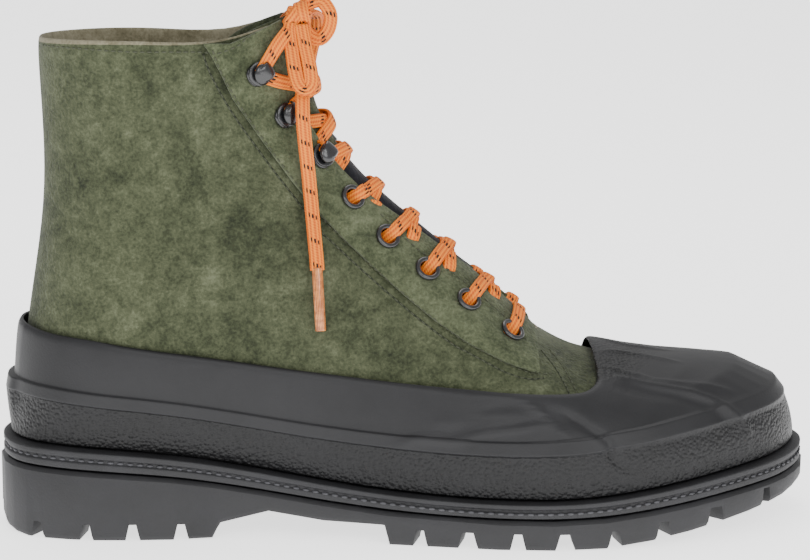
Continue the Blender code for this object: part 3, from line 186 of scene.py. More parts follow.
def makeSoleRubber(name, dark, ridgeLight, grainSize, bump, roughness):
    material, shader = newMaterial(name, {"Roughness": roughness, "IOR": 1.52})
    where = {"Vector": addNode(material, "ShaderNodeTexCoord").outputs["Object"]}
    cloud = addNode(material, "ShaderNodeTexNoise", {"Scale": 60.0, "Detail": 5.0, "Roughness": 0.65}, where)
    colour = addNode(material, "ShaderNodeValToRGB", {"stops": ((0.32, dark), (0.68, ridgeLight))},
                     {"Fac": cloud.outputs["Fac"]})
    grain = addNode(material, "ShaderNodeTexNoise", {"Scale": 1000 / grainSize, "Detail": 3.0, "Roughness": 0.65},
                    where)
    fine = addNode(material, "ShaderNodeBump", {"Strength": bump, "Distance": 0.0005},
                   {"Height": grain.outputs["Fac"]})
    rough = addNode(material, "ShaderNodeMapRange", {3: roughness - 0.06, 4: roughness + 0.1},
                    {0: cloud.outputs["Fac"]})
    feed(material, shader, {"Base Color": colour.outputs[0], "Normal": fine.outputs[0],
                            "Roughness": rough.outputs[0]})
    return material


shellRubber = makeShellRubber()
# carbon-filled rubber: matt from the mould, dusty and a little paler in patches
soleRubber = makeSoleRubber("lugRubber", "#141416", "#202023", 1.1, 0.3, 0.6)
weltRubber = makeSoleRubber("weltRubber", "#18181A", "#252528", 0.8, 0.5, 0.62)
# the welt's thick waxed thread, grey where it catches the light
ribRubber = makeSoleRubber("ribRubber", "#303034", "#3E3E42", 0.8, 0.25, 0.5)
# the shadow in a seam's fold: dark green and quite dull
seamShadow = makeSoleRubber("seamShadow", "#1B1F13", "#242919", 0.9, 0.2, 0.95)

# enamelled brass: black lacquer, glossy where it is rounded
enamel, enamelShader = newMaterial("blackEnamel", {"Base Color": linear("#101013"), "Metallic": 0.0,
                                                   "Roughness": 0.26, "Coat Weight": 0.6, "Coat Roughness": 0.12})
enamelPlace = addNode(enamel, "ShaderNodeTexCoord")
enamelWear = addNode(enamel, "ShaderNodeTexNoise", {"Scale": 900.0, "Detail": 3.0},
                     {"Vector": enamelPlace.outputs["Object"]})
enamelRough = addNode(enamel, "ShaderNodeMapRange", {3: 0.2, 4: 0.38}, {0: enamelWear.outputs["Fac"]})
feed(enamel, enamelShader, {"Roughness": enamelRough.outputs[0]})

# waxed polyester thread: dull green, with a fine twist
threadDark, threadShader = newMaterial("threadDark", {"Base Color": linear("#3A3E2C"), "Roughness": 0.7})
threadPlace = addNode(threadDark, "ShaderNodeTexCoord")
threadTwist = addNode(threadDark, "ShaderNodeTexNoise", {"Scale": 2500.0},
                      {"Vector": threadPlace.outputs["Object"]})
threadBump = addNode(threadDark, "ShaderNodeBump", {"Strength": 0.4, "Distance": 0.0002},
                     {"Height": threadTwist.outputs["Fac"]})
feed(threadDark, threadShader, {"Normal": threadBump.outputs[0]})

# braided polyester lace: orange with black tracer flecks in threes, its ribs run lengthwise; the orange is painted
# darker in the weave's grooves as painted shade and paler on its ridges as painted light
laceSet = {"ridgeLight": "#EE8420", "deep": "#C4540C", "fleck": "#1E1410", "pitch": 9.0,
           "ribs": 4, "picks": 9.0, "slant": 0.36}


def makeLaceMaterial():
    material, shader = newMaterial("flatBraid", {"Roughness": 0.68, "Specular IOR Level": 0.3})
    place = addNode(material, "ShaderNodeUVMap", {"uv_map": "UVMap"})
    axes = addNode(material, "ShaderNodeSeparateXYZ", None, {0: place.outputs[0]})
    along, across = axes.outputs[0], axes.outputs[1]
    slant = addNode(material, "ShaderNodeMath", {"operation": "MULTIPLY_ADD", 1: laceSet["slant"]},
                    {0: across, 2: along})
    beat = addNode(material, "ShaderNodeMath", {"operation": "FRACT"}, {0: slant.outputs[0]})
    short = addNode(material, "ShaderNodeMath", {"operation": "LESS_THAN", 1: 0.17}, {0: beat.outputs[0]})
    strands = addNode(material, "ShaderNodeMath", {"operation": "MULTIPLY", 1: 5.0}, {0: across})
    strandBeat = addNode(material, "ShaderNodeMath", {"operation": "FRACT"}, {0: strands.outputs[0]})
    dash = addNode(material, "ShaderNodeMath", {"operation": "COMPARE", 1: 0.5, 2: 0.27},
                   {0: strandBeat.outputs[0]})
    inner = addNode(material, "ShaderNodeMath", {"operation": "COMPARE", 1: 0.5, 2: 0.3}, {0: across})
    first = addNode(material, "ShaderNodeMath", {"operation": "MULTIPLY"},
                    {0: short.outputs[0], 1: dash.outputs[0]})
    flecks = addNode(material, "ShaderNodeMath", {"operation": "MULTIPLY"},
                     {0: first.outputs[0], 1: inner.outputs[0]})
    ribTurn = addNode(material, "ShaderNodeMath", {"operation": "MULTIPLY", 1: laceSet["ribs"] * 2 * math.pi},
                      {0: across})
    ribs = addNode(material, "ShaderNodeMath", {"operation": "SINE"}, {0: ribTurn.outputs[0]})
    pickTurn = addNode(material, "ShaderNodeMath", {"operation": "MULTIPLY", 1: laceSet["picks"] * 2 * math.pi},
                       {0: slant.outputs[0]})
    weave = addNode(material, "ShaderNodeMath", {"operation": "SINE"}, {0: pickTurn.outputs[0]})
    height = addNode(material, "ShaderNodeMath", {"operation": "MULTIPLY_ADD", 1: 0.45},
                     {0: weave.outputs[0], 2: ribs.outputs[0]})
    tone = addNode(material, "ShaderNodeMapRange", {1: -1.45, 2: 1.45}, {0: height.outputs[0]})
    # painted shade and light: the weave's height picks the orange, dark in its grooves and pale on its ridges
    base = addNode(material, "ShaderNodeValToRGB", {"stops": ((0.1, laceSet["deep"]), (0.75, laceSet["ridgeLight"]))},
                   {"Fac": tone.outputs[0]})
    colour = addNode(material, "ShaderNodeMix", {"data_type": "RGBA", 7: linear(laceSet["fleck"])},
                     {0: flecks.outputs[0], 6: base.outputs[0]})
    bump = addNode(material, "ShaderNodeBump", {"Strength": 0.55, "Distance": 0.0005},
                   {"Height": tone.outputs[0]})
    feed(material, shader, {"Base Color": colour.outputs[2], "Normal": bump.outputs[0]})
    return material


laceBraid = makeLaceMaterial()

# acetate film rolled round the lace's end: glossy, with the orange showing through unevenly
aglet, agletShader = newMaterial("acetateFilm", {"Roughness": 0.22, "Coat Weight": 0.7, "Coat Roughness": 0.1})
agletPlace = addNode(aglet, "ShaderNodeTexCoord")
agletTone = addNode(aglet, "ShaderNodeTexNoise", {"Scale": 500.0, "Detail": 2.0},
                    {"Vector": agletPlace.outputs["Object"]})
agletColour = addNode(aglet, "ShaderNodeValToRGB", {"stops": ((0.35, "#B0622A"), (0.65, "#DE8A44"))},
                      {"Fac": agletTone.outputs["Fac"]})
feed(aglet, agletShader, {"Base Color": agletColour.outputs[0]})
print("materials made")


# helpers for shapes
def onlySelect(item):
    bpy.ops.object.select_all(action="DESELECT")
    item.select_set(True)
    bpy.context.view_layer.objects.active = item


def inEdit(*steps):  # each step is an operator on the whole active mesh, with its settings
    bpy.ops.object.mode_set(mode="EDIT")
    bpy.ops.mesh.select_all(action="SELECT")
    for operator, settings in steps:
        operator(**settings)
    bpy.ops.object.mode_set(mode="OBJECT")
    return bpy.context.object


def turnOut(piece):
    onlySelect(piece)
    inEdit((bpy.ops.mesh.normals_make_consistent, {"inside": False}))


def finishPiece(piece, material, nodes=()):
    if material:
        piece.data.materials.clear()
        piece.data.materials.append(material)
    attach(piece, "root")
    if nodes:
        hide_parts(*nodes)


def applyModifier(piece, kind, **settings):
    onlySelect(piece)
    modifier = piece.modifiers.new(kind.lower(), kind)
    for key, value in settings.items():
        setattr(modifier, key, value)
    bpy.ops.object.modifier_apply(modifier=modifier.name)


def copyNode(nodeName, pieceName, quads=True):
    piece = bpy.data.objects.new(pieceName, cadNodes[nodeName].data.copy())
    bpy.context.scene.collection.objects.link(piece)
    piece.data.name = pieceName
    onlySelect(piece)
    steps = [(bpy.ops.mesh.remove_doubles, {"threshold": 0.00001})]
    if quads:
        steps.append((bpy.ops.mesh.tris_convert_to_quads,
                      {"face_threshold": math.radians(50), "shape_threshold": math.radians(70)}))
    inEdit(*steps)
    return piece


def smoothPiece(piece, levels):
    applyModifier(piece, "SUBSURF", levels=levels, render_levels=levels)
    for face in piece.data.polygons:
        face.use_smooth = True


def treeOf(*pieces):
    points, faces = [], []
    for piece in pieces:
        start = len(points)
        points += [v.co.copy() for v in piece.data.vertices]
        faces += [[start + i for i in p.vertices] for p in piece.data.polygons]
    return BVHTree.FromPolygons(points, faces)


def evenly(points, spacing):
    smooth = []
    for i in range(len(points) - 1):
        before = points[max(i - 1, 0)]
        after = points[min(i + 2, len(points) - 1)]
        for step in range(12):
            t = step / 12
            a, b = points[i], points[i + 1]
            smooth.append(0.5 * ((2 * a) + (b - before) * t + (2 * before - 5 * a + 4 * b - after) * t * t
                                 + (3 * a - before - 3 * b + after) * t ** 3))
    smooth.append(points[-1])
    lengths = [0.0]
    for a, b in zip(smooth, smooth[1:]):
        lengths.append(lengths[-1] + (b - a).length)
    count = max(int(round(lengths[-1] / spacing)), 1)
    result, index = [], 0
    for step in range(count + 1):
        goal = lengths[-1] * step / count
        while index < len(lengths) - 2 and lengths[index + 1] < goal:
            index += 1
        span = max(lengths[index + 1] - lengths[index], 1e-9)
        result.append(smooth[index].lerp(smooth[index + 1], (goal - lengths[index]) / span))
    return result


def fromPhoto(pixels, tree):  # where the photograph's pixels fall on the boot
    found = [tree.ray_cast(eye, photoRay(x, y))[0] for x, y in pixels]
    return [place for place in found if place is not None]


def laid(points, tree, lift):
    result = []
    for point in points:
        place, normal, _, _ = tree.find_nearest(point)
        result.append((place + normal * lift, normal))
    return result


def newPiece(name, points, faces):
    mesh = bpy.data.meshes.new(name)
    mesh.from_pydata(points, [], faces)
    for face in mesh.polygons:
        face.use_smooth = True
    piece = bpy.data.objects.new(name, mesh)
    bpy.context.scene.collection.objects.link(piece)
    return piece


def ringWays(path, index):
    ahead = (path[min(index + 1, len(path) - 1)][0] - path[max(index - 1, 0)][0]).normalized()
    across = ahead.cross(path[index][1]).normalized()
    return across, across.cross(ahead).normalized()


def ringFaces(rings, sides):
    faces = []
    for start in range(0, (rings - 1) * sides, sides):
        for side in range(sides):
            after = (side + 1) % sides
            faces.append((start + side, start + after, start + sides + after, start + sides + side))
    return faces + [tuple(range(sides))[::-1], tuple((rings - 1) * sides + side for side in range(sides))]


def turnTo(ahead, across, up, point):
    turn = Matrix((ahead, across, up)).transposed().to_4x4()
    turn.translation = point
    return turn


def copiesOf(name, pattern, places, material, nodes=()):
    points, faces = [], []
    for place in places:
        start = len(points)
        points += [place @ vertex.co for vertex in pattern.data.vertices]
        faces += [tuple(start + i for i in face.vertices) for face in pattern.data.polygons]
    bpy.data.objects.remove(pattern)
    piece = newPiece(name, points, faces)
    finishPiece(piece, material, nodes)
    return piece


def stitchRow(name, path, pitch, length, radius, material):
    bpy.ops.object.select_all(action="DESELECT")
    bpy.ops.mesh.primitive_uv_sphere_add(segments=8, ring_count=6, radius=1.0, location=(0, 0, 0))
    pattern = inEdit((bpy.ops.transform.resize, {"value": (length / 2, radius, radius * 0.8)}))
    run = evenly([point for point, _ in path], pitch)
    places = []
    for index, (before, after) in enumerate(zip(run, run[1:])):
        ahead = (after - before).normalized()
        normal = path[min(int(index / len(run) * len(path)), len(path) - 1)][1]
        across = normal.cross(ahead).normalized()
        places.append(turnTo(ahead, across, ahead.cross(across), (before + after) / 2))
    copiesOf(name, pattern, places, material)


def pressed(piece, strokes, tree):
    mesh = piece.data
    places = np.empty(len(mesh.vertices) * 3)
    normals = np.empty(len(mesh.vertices) * 3)
    mesh.vertices.foreach_get("co", places)
    mesh.vertices.foreach_get("normal", normals)
    places, normals = places.reshape(-1, 3), normals.reshape(-1, 3)
    for stroke in strokes:
        path = evenly(fromPhoto(stroke["pixels"], tree), 1.5 * mm)
        if stroke.get("mirror"):
            path = [mirrored(point) for point in path]
        line = np.array([tuple(point) for point in path])
        width, depth = stroke["width"] * mm, stroke["depth"] * mm
        inside = np.all((places > line.min(0) - 3 * width) & (places < line.max(0) + 3 * width), axis=1)
        chosen = np.nonzero(inside)[0]
        if not len(chosen):
            continue
        gaps = np.linalg.norm(places[chosen][:, None, :] - line[None, :, :], axis=2)
        near = gaps.argmin(1)
        distance = gaps.min(1)
        fade = np.minimum(1.0, np.minimum((near + 1) / 5, (len(line) - near) / 5))
        push = depth * fade * np.exp(-(distance / width) ** 2)
        places[chosen] += normals[chosen] * push[:, None]
    mesh.vertices.foreach_set("co", places.reshape(-1))
    mesh.update()


def boxCentre(name):
    low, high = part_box(name)
    return (Vector(low) + Vector(high)) / 2


# suede upper: its outer skin is found from the heel over soft edges, and the rest of it is lined
upperSet = {"levels": 2, "softEdge": 52}
upperPiece = copyNode("upper", "suedeUpper")
work = bmesh.new()
work.from_mesh(upperPiece.data)
seed = min((f for f in work.faces if f.normal.x < -0.6), key=lambda f: f.calc_center_median().x)
outer, waiting = {seed}, [seed]
while waiting:
    face = waiting.pop()
    for edge in face.edges:
        if len(edge.link_faces) == 2 and edge.calc_face_angle(3.0) < math.radians(upperSet["softEdge"]):
            for other in edge.link_faces:
                if other not in outer:
                    outer.add(other)
                    waiting.append(other)
for face in work.faces:
    face.material_index = 0 if face in outer else 1
work.to_mesh(upperPiece.data)
print("outer skin found,", round(len(outer) / len(work.faces), 2), "of the upper")
work.free()
smoothPiece(upperPiece, upperSet["levels"])

fastenings = [(boxCentre(f"eyelet_lateral_{i}"), boxCentre(f"eyelet_medial_{i}")) for i in (1, 2, 3, 4, 5)]
fastenings += [(boxCentre(f"hook_lateral_{i}"), boxCentre(f"hook_medial_{i}")) for i in (1, 2, 3)]


def middleAt(x):
    pairs = sorted(((a.x + b.x) / 2, (a.y + b.y) / 2) for a, b in fastenings)
    if x <= pairs[0][0]:
        return pairs[0][1]
    for (x0, y0), (x1, y1) in zip(pairs, pairs[1:]):
        if x <= x1:
            return y0 + (y1 - y0) * (x - x0) / (x1 - x0)
    return pairs[-1][1]


def mirrored(point):
    return Vector((point.x, 2 * middleAt(point.x) - point.y, point.z))


upperTree = treeOf(upperPiece)
creases = [  # soft folds where the boot has been bent, as the photo shows them, in mm
    {"pixels": ((236, 262), (246, 290), (250, 322), (247, 350)), "width": 6, "depth": -0.9},
    {"pixels": ((262, 250), (272, 285), (276, 325), (270, 355)), "width": 6, "depth": 0.8},
    {"pixels": ((150, 150), (190, 178), (228, 214), (258, 246)), "width": 8, "depth": -0.7},
    {"pixels": ((60, 212), (100, 236), (150, 250), (196, 252)), "width": 8, "depth": -0.8},
    {"pixels": ((45, 262), (90, 268), (140, 290)), "width": 7, "depth": 0.7},
    {"pixels": ((340, 262), (352, 300), (372, 340), (400, 372)), "width": 5, "depth": -0.8},
    {"pixels": ((300, 232), (318, 275), (330, 318)), "width": 6, "depth": 0.6},
    {"pixels": ((420, 345), (450, 356), (484, 380)), "width": 4, "depth": -0.7},
    {"pixels": ((486, 372), (506, 380), (520, 394)), "width": 3.5, "depth": -0.7},
    {"pixels": ((556, 350), (575, 362), (590, 386)), "width": 3.5, "depth": -0.7},
    {"pixels": ((70, 70), (84, 120), (76, 170)), "width": 9, "depth": -0.6},
    {"pixels": ((150, 60), (168, 100), (160, 140)), "width": 9, "depth": 0.6},
]
pressed(upperPiece, creases, upperTree)
pressed(upperPiece, [dict(stroke, mirror=True) for stroke in creases], upperTree)
sides = [face.material_index for face in upperPiece.data.polygons]
upperPiece.data.materials.clear()
upperPiece.data.materials.append(suede)
upperPiece.data.materials.append(lining)
for face, side in zip(upperPiece.data.polygons, sides):
    face.material_index = side
finishPiece(upperPiece, None, ["upper"])
upperTree = treeOf(upperPiece)
print("upper creased")


# rubber shell: its rings are counted from the lower edge, and it is pebbled up to the band
shellSet = {"levels": 3, "band": 3, "bandEdges": (3, 4, 5, 6), "bandCrease": 0.75,
            "corner": 60, "cornerCrease": 0.85}
shellPiece = copyNode("rubber_shell", "rubberShell")
work = bmesh.new()
work.from_mesh(shellPiece.data)
creaseLayer = work.edges.layers.float.new("crease_edge")
zoneLayer = work.verts.layers.float.new("pebbled")
rank = {}
bottom = [f for f in work.faces if f.normal.z < -0.9]
front = {v for f in bottom for v in f.verts}
step = 0
while front:
    for vertex in front:
        rank[vertex] = step
    front = {e.other_vert(v) for v in front for e in v.link_edges if e.other_vert(v) not in rank}
    step += 1
for vertex in work.verts:
    vertex[zoneLayer] = 1.0 if rank.get(vertex, 9) <= shellSet["band"] else 0.0
for edge in work.edges:
    ranks = {rank.get(v, 9) for v in edge.verts}
    if len(ranks) == 1 and ranks.pop() in shellSet["bandEdges"]:
        edge[creaseLayer] = shellSet["bandCrease"]
    if edge.calc_face_angle(0.0) > math.radians(shellSet["corner"]):
        edge[creaseLayer] = shellSet["cornerCrease"]
work.to_mesh(shellPiece.data)
work.free()
smoothPiece(shellPiece, shellSet["levels"])
shellTree = treeOf(shellPiece)
ribs = [  # moulded over the toe and the flex panel at the ball, in mm
    {"pixels": ((600, 367), (617, 370), (627, 373), (640, 376), (658, 381), (700, 385),
                (735, 392)), "width": 1.5, "depth": 0.9},
    {"pixels": ((612, 374), (626, 379), (649, 385), (685, 391), (700, 395),
                (714, 400), (733, 412), (746, 426), (749, 443)), "width": 1.8, "depth": 1.3},
    {"pixels": ((612, 384), (640, 391), (680, 398), (705, 406),
                (722, 418), (730, 432)), "width": 2.2, "depth": -0.7},
    {"pixels": ((598, 352), (620, 352), (650, 357), (680, 362)), "width": 1.4, "depth": 0.8},
    {"pixels": ((398, 446), (419, 439), (441, 440), (457, 440), (482, 434), (516, 430),
                (549, 425)), "width": 1.8, "depth": 0.8},
    {"pixels": ((520, 396), (529, 403), (540, 412), (552, 421)), "width": 1.8, "depth": 0.9},
    {"pixels": ((552, 421), (560, 432), (570, 441)), "width": 1.8, "depth": 0.6},
    {"pixels": ((560, 409), (575, 419), (592, 431), (609, 442), (612, 456),
                (625, 468), (638, 476)), "width": 1.6, "depth": -0.8},
    {"pixels": ((470, 412), (500, 408), (530, 410), (560, 418), (590, 430)), "width": 3.5, "depth": -0.6},
    {"pixels": ((430, 425), (470, 418), (510, 414), (545, 413)), "width": 3.0, "depth": 0.5},
]
pressed(shellPiece, ribs, shellTree)
pressed(shellPiece, [dict(stroke, mirror=True) for stroke in ribs], shellTree)
finishPiece(shellPiece, shellRubber, ["rubber_shell"])
print("shell moulded,", len(shellPiece.data.polygons), "faces")


# midsole: the solid has the welt's two ribs, and the thread lies in the groove between them; sizes in mm
weltSet = {"drop": -3.9, "lift": 0.15, "pitch": 3.6, "stitch": 2.6, "thread": 0.55, "corner": 50, "crease": 0.8}
midsolePiece = copyNode("midsole", "midsoleWelt")
work = bmesh.new()
work.from_mesh(midsolePiece.data)
creaseLayer = work.edges.layers.float.new("crease_edge")
for edge in work.edges:
    if edge.calc_face_angle(0.0) > math.radians(weltSet["corner"]):
        edge[creaseLayer] = weltSet["crease"]
work.to_mesh(midsolePiece.data)
work.free()
smoothPiece(midsolePiece, 2)
finishPiece(midsolePiece, weltRubber, ["midsole"])
midsoleTree = treeOf(midsolePiece)


def weltStations(count):
    reach, straight, arc = 0.10, count // 3, count // 6
    stations = [(Vector((-reach + 2 * reach * i / straight, 0, 0)), Vector((0, -1, 0))) for i in range(straight)]
    stations += [(Vector((reach, 0, 0)), Vector((math.sin(math.pi * i / arc), -math.cos(math.pi * i / arc), 0)))
                 for i in range(arc)]
    stations += [(Vector((reach - 2 * reach * i / straight, 0, 0)), Vector((0, 1, 0))) for i in range(straight)]
    stations += [(Vector((-reach, 0, 0)), Vector((-math.sin(math.pi * i / arc), math.cos(math.pi * i / arc), 0)))
                 for i in range(arc + 1)]
    return stations


def roundWelt(drop, lift):
    path = []
    for spine, way in weltStations(360):
        x, place = spine.x + way.x * 0.04, None
        for _ in range(3):
            top = midsoleTree.ray_cast(Vector((x, way.y * 0.01, 0.3)), Vector((0, 0, -1)))[0]
            if top is None:
                break
            start = Vector((spine.x + way.x * 0.2, way.y * 0.2, top.z + drop * mm))
            place, normal, _, _ = midsoleTree.ray_cast(start, -way)
            if place is None:
                break
            x = place.x - way.x * 2 * mm
        if top is not None and place is not None:
            flat = Vector((normal.x, normal.y, 0)).normalized()
            path.append((place + flat * lift * mm, flat))
    return path


weltPath = roundWelt(weltSet["drop"], weltSet["lift"])
stitchRow("weltStitches", weltPath, weltSet["pitch"] * mm, weltSet["stitch"] * mm, weltSet["thread"] * mm,
          ribRubber)
print("welt stitched,", len(weltPath), "points")


# outsole: flat faces joined, then every lug's edge broken as the mould leaves it
outsoleSet = {"flat": 1.5, "edge": 0.6, "sharp": 40, "shade": 35}
outsolePiece = copyNode("outsole", "luggedOutsole", False)
applyModifier(outsolePiece, "DECIMATE", decimate_type="DISSOLVE", angle_limit=math.radians(outsoleSet["flat"]))
applyModifier(outsolePiece, "BEVEL", width=outsoleSet["edge"] * mm, segments=2, limit_method="ANGLE",
              angle_limit=math.radians(outsoleSet["sharp"]))
bpy.ops.object.shade_smooth_by_angle(angle=math.radians(outsoleSet["shade"]))
finishPiece(outsolePiece, soleRubber, ["outsole"])
cadNodes["insole"].data.materials.clear()
cadNodes["insole"].data.materials.append(knitAndTongueShade)
print("outsole bevelled")


# tongue: painted shade, its suede darker at the top and near-black knit between the eyelets
tongueSet = {"levels": 2, "paintedShadeFrom": 128}  # mm from the heel's back
tonguePiece = copyNode("tongue", "suedeTongue")
smoothPiece(tonguePiece, tongueSet["levels"])
tonguePiece.data.materials.clear()
# painted shade: the tongue's suede is the darker copy of the hide
tonguePiece.data.materials.append(shadedTongueSuede)
tonguePiece.data.materials.append(knitAndTongueShade)
# painted shade: the tongue ahead of this point takes the near-black knit
for face in tonguePiece.data.polygons:
    if face.center.x > (tongueSet["paintedShadeFrom"] - heelBack) * mm:
        face.material_index = 1
finishPiece(tonguePiece, None, ["tongue"])


# facings and seams: thread along the photograph's seams, mirrored on the medial side; sizes in mm
facingSet = {"edge": 0.3, "sharp": 50}
seamSet = {"pitch": 2.6, "stitch": 1.9, "thread": 0.32, "fold": 0.35, "foldFlat": 0.6, "foldSides": 5}
seamPixels = ((207, 50), (215, 71), (232, 102), (248, 126), (264, 148), (281, 171), (302, 198), (324, 227),
              (335, 237), (366, 266), (398, 294), (423, 315), (455, 339), (471, 348), (509, 368), (532, 375),
              (548, 374))


def facingMesh(nodeName, pieceName):
    piece = copyNode(nodeName, pieceName, False)
    applyModifier(piece, "BEVEL", width=facingSet["edge"] * mm, segments=2, limit_method="ANGLE",
                  angle_limit=math.radians(facingSet["sharp"]))
    bpy.ops.object.shade_smooth_by_angle(angle=math.radians(facingSet["sharp"]))
    # painted light: the facings take the paler copy of the suede
    finishPiece(piece, litFacingSuede, [nodeName])
    return piece


facingPieces = [facingMesh("facing_lateral", "facingLateral"), facingMesh("facing_medial", "facingMedial")]
facingTree = treeOf(*facingPieces)
skinTree = treeOf(upperPiece, *facingPieces)
allTree = treeOf(upperPiece, tonguePiece, *facingPieces)


def seamFold(name, path):
    radius, sides, points = seamSet["fold"] * mm, seamSet["foldSides"], []
    for index, (point, _) in enumerate(path):
        across, up = ringWays(path, index)
        for side in range(sides):
            angle = 2 * math.pi * side / sides
            points.append(point + across * math.cos(angle) * radius
                          + up * math.sin(angle) * radius * seamSet["foldFlat"])
    piece = newPiece(name, points, ringFaces(len(path), sides))
    turnOut(piece)
    finishPiece(piece, seamShadow)


def shifted(pixels, dx, dy):
    return [(x + dx, y + dy) for x, y in pixels]


frontEdge = ((331, 162), (360, 187), (392, 214), (427, 246), (465, 272), (502, 303), (527, 325), (534, 337))
quarterFront = ((541, 350), (554, 366), (564, 383), (571, 398))
collarStitch = ((42, 45), (60, 47), (86, 49), (112, 51), (138, 52), (170, 52), (198, 52), (216, 54), (228, 50),
                (241, 44), (256, 33), (270, 24))
seams = [  # name, pixels, and whether its fold shows as a dark line
    ("facingBack", shifted(seamPixels, 5, -1), False),
    ("facingBackSecond", shifted(seamPixels, -4, 4), True),
    ("facingFront", shifted(frontEdge, -7, 5), False),
    ("quarterFront", quarterFront, True),
    ("quarterFrontSecond", shifted(quarterFront, 7, -2), False),
    ("collar", collarStitch, False),
]
for name, pixels, folded in seams:
    path = evenly(fromPhoto(pixels, skinTree), 2 * mm)
    for tag, points in (("Lateral", path), ("Medial", [mirrored(point) for point in path])):
        if folded:
            seamFold(f"{name}Line{tag}", laid(points, skinTree, 0.02 * mm))
        stitchRow(f"{name}Stitches{tag}", laid(points, skinTree, 0.12 * mm), seamSet["pitch"] * mm,
                  seamSet["stitch"] * mm, seamSet["thread"] * mm, threadDark)
print("facings and seams sewn")


# eyelets and hooks: rolled rings, and domed heads over flat washers; sizes in mm
eyeletSet = {"ring": 3.85, "wire": 0.95, "flat": 0.85, "sunk": 0.55}
hookSet = {"fuller": 0.42, "disc": 4.5, "discHigh": 1.1, "discEdge": 0.4, "discUp": 1.6,
           "dome": (3.3, 3.9, 1.5), "domeDown": 1.3}


def flatWay(nodeName):
    places = np.array([tuple(vertex.co) for vertex in cadNodes[nodeName].data.vertices])
    values, ways = np.linalg.eigh(np.cov((places - places.mean(0)).T))
    way = Vector(ways[:, 0])
    middle = boxCentre(nodeName)
    outside = middle - Vector((middle.x - 0.02, middleAt(middle.x), 0.03))
    return way if way.dot(outside) > 0 else -way


def surfaceTurn(nodeName):
    normal = flatWay(nodeName)
    across = normal.cross(Vector((1, 0, 0))).normalized()
    return turnTo(across.cross(normal), across, normal, boxCentre(nodeName))


for index in range(5):
    for tag in ("lateral", "medial"):
        node = f"eyelet_{tag}_{index + 1}"
        bpy.ops.object.select_all(action="DESELECT")
        bpy.ops.mesh.primitive_torus_add(major_segments=40, minor_segments=14, major_radius=eyeletSet["ring"] * mm,
                                         minor_radius=eyeletSet["wire"] * mm)
        pattern = inEdit((bpy.ops.transform.resize, {"value": (1, 1, eyeletSet["flat"])}))
        turn = surfaceTurn(node)
        up = turn.col[2].xyz
        reach = max((vertex.co - turn.translation).dot(up) for vertex in cadNodes[node].data.vertices)
        turn.translation += up * (reach - eyeletSet["sunk"] * mm)
        copiesOf(f"eyelet{tag.capitalize()}{index + 1}", pattern, [turn], enamel, [node])
for index in range(3):
    for tag in ("lateral", "medial"):
        node = f"hook_{tag}_{index + 1}"
        piece = copyNode(node, f"hook{tag.capitalize()}{index + 1}")
        smoothPiece(piece, 2)
        for vertex in piece.data.vertices:  # fuller, as smoothing draws it in
            vertex.co += vertex.normal * hookSet["fuller"] * mm
        finishPiece(piece, enamel, [node])


def hookPattern(kind):
    bpy.ops.object.select_all(action="DESELECT")
    if kind == "disc":
        bpy.ops.mesh.primitive_cylinder_add(vertices=32, radius=hookSet["disc"] * mm,
                                            depth=hookSet["discHigh"] * mm)
        return inEdit((bpy.ops.mesh.bevel, {"offset": hookSet["discEdge"] * mm, "segments": 3, "affect": "EDGES"}))
    bpy.ops.mesh.primitive_uv_sphere_add(segments=28, ring_count=16, radius=1 * mm)
    return inEdit((bpy.ops.transform.resize, {"value": hookSet["dome"]}))


for index in range(3):
    for side, tag in enumerate(("lateral", "medial")):
        middle = fastenings[5 + index][side]
        up = upperTree.find_nearest(middle)[1]
        if up.dot(middle - Vector((middle.x - 0.01, middleAt(middle.x), middle.z - 0.01))) < 0:
            up = -up
        heights = [(vertex.co - middle).dot(up) for vertex in cadNodes[f"hook_{tag}_{index + 1}"].data.vertices]
        across = up.cross(Vector((1, 0, 0))).normalized()
        for kind, height in (("disc", min(heights) + hookSet["discUp"] * mm),
                             ("dome", max(heights) - hookSet["domeDown"] * mm)):
            turn = turnTo(across.cross(up), across, up, middle + up * height)
            copiesOf(f"hook{kind.capitalize()}{tag.capitalize()}{index + 1}", hookPattern(kind), [turn],
                     enamel)
print("eyelets and hooks set")


# lace: a flat braid, oval in section; sizes in mm
strandSet = {"width": 5.2, "thick": 2.0, "sides": 14, "steps": 44, "smooth": 0.8,
             "rim": ((0, 1.6, 3.2, 5.2), (-2.4, -0.4, 1.9, 2.1)),  # out of the eyelet: how far along, how high
             "tuck": ((0, 3.8, 4.4, 8), (-3.4, -1.7, 0.5))}  # under the other facing: from the end, how high


def braid(name, path, replaced=()):
    sides, pitch = strandSet["sides"], laceSet["pitch"] * mm
    points, coords, runs = [], [], [0.0]
    for index, (point, _) in enumerate(path):
        if index:
            runs.append(runs[-1] + (point - path[index - 1][0]).length)
        across, up = ringWays(path, index)
        for side in range(sides):
            c, s = math.cos(2 * math.pi * side / sides), math.sin(2 * math.pi * side / sides)
            wide = math.copysign(abs(c) ** 0.8, c) * strandSet["width"] * mm / 2
            high = math.copysign(abs(s) ** 0.6, s) * strandSet["thick"] * mm / 2
            points.append(point + across * wide + up * high)
    edge = [0.5 + 0.5 * math.cos(2 * math.pi * side / sides) for side in range(sides + 1)]
    for u0, u1 in zip(runs, runs[1:]):
        for v0, v1 in zip(edge, edge[1:]):
            coords += [(u0 / pitch, v0), (u0 / pitch, v1), (u1 / pitch, v1), (u1 / pitch, v0)]
    coords += [(0, 0.5)] * sides + [(runs[-1] / pitch, 0.5)] * sides
    piece = newPiece(name, points, ringFaces(len(path), sides))
    layer = piece.data.uv_layers.new(name="UVMap")
    for item, place in zip(layer.data, coords):
        item.uv = place
    turnOut(piece)
    finishPiece(piece, laceBraid, list(replaced))
    return piece


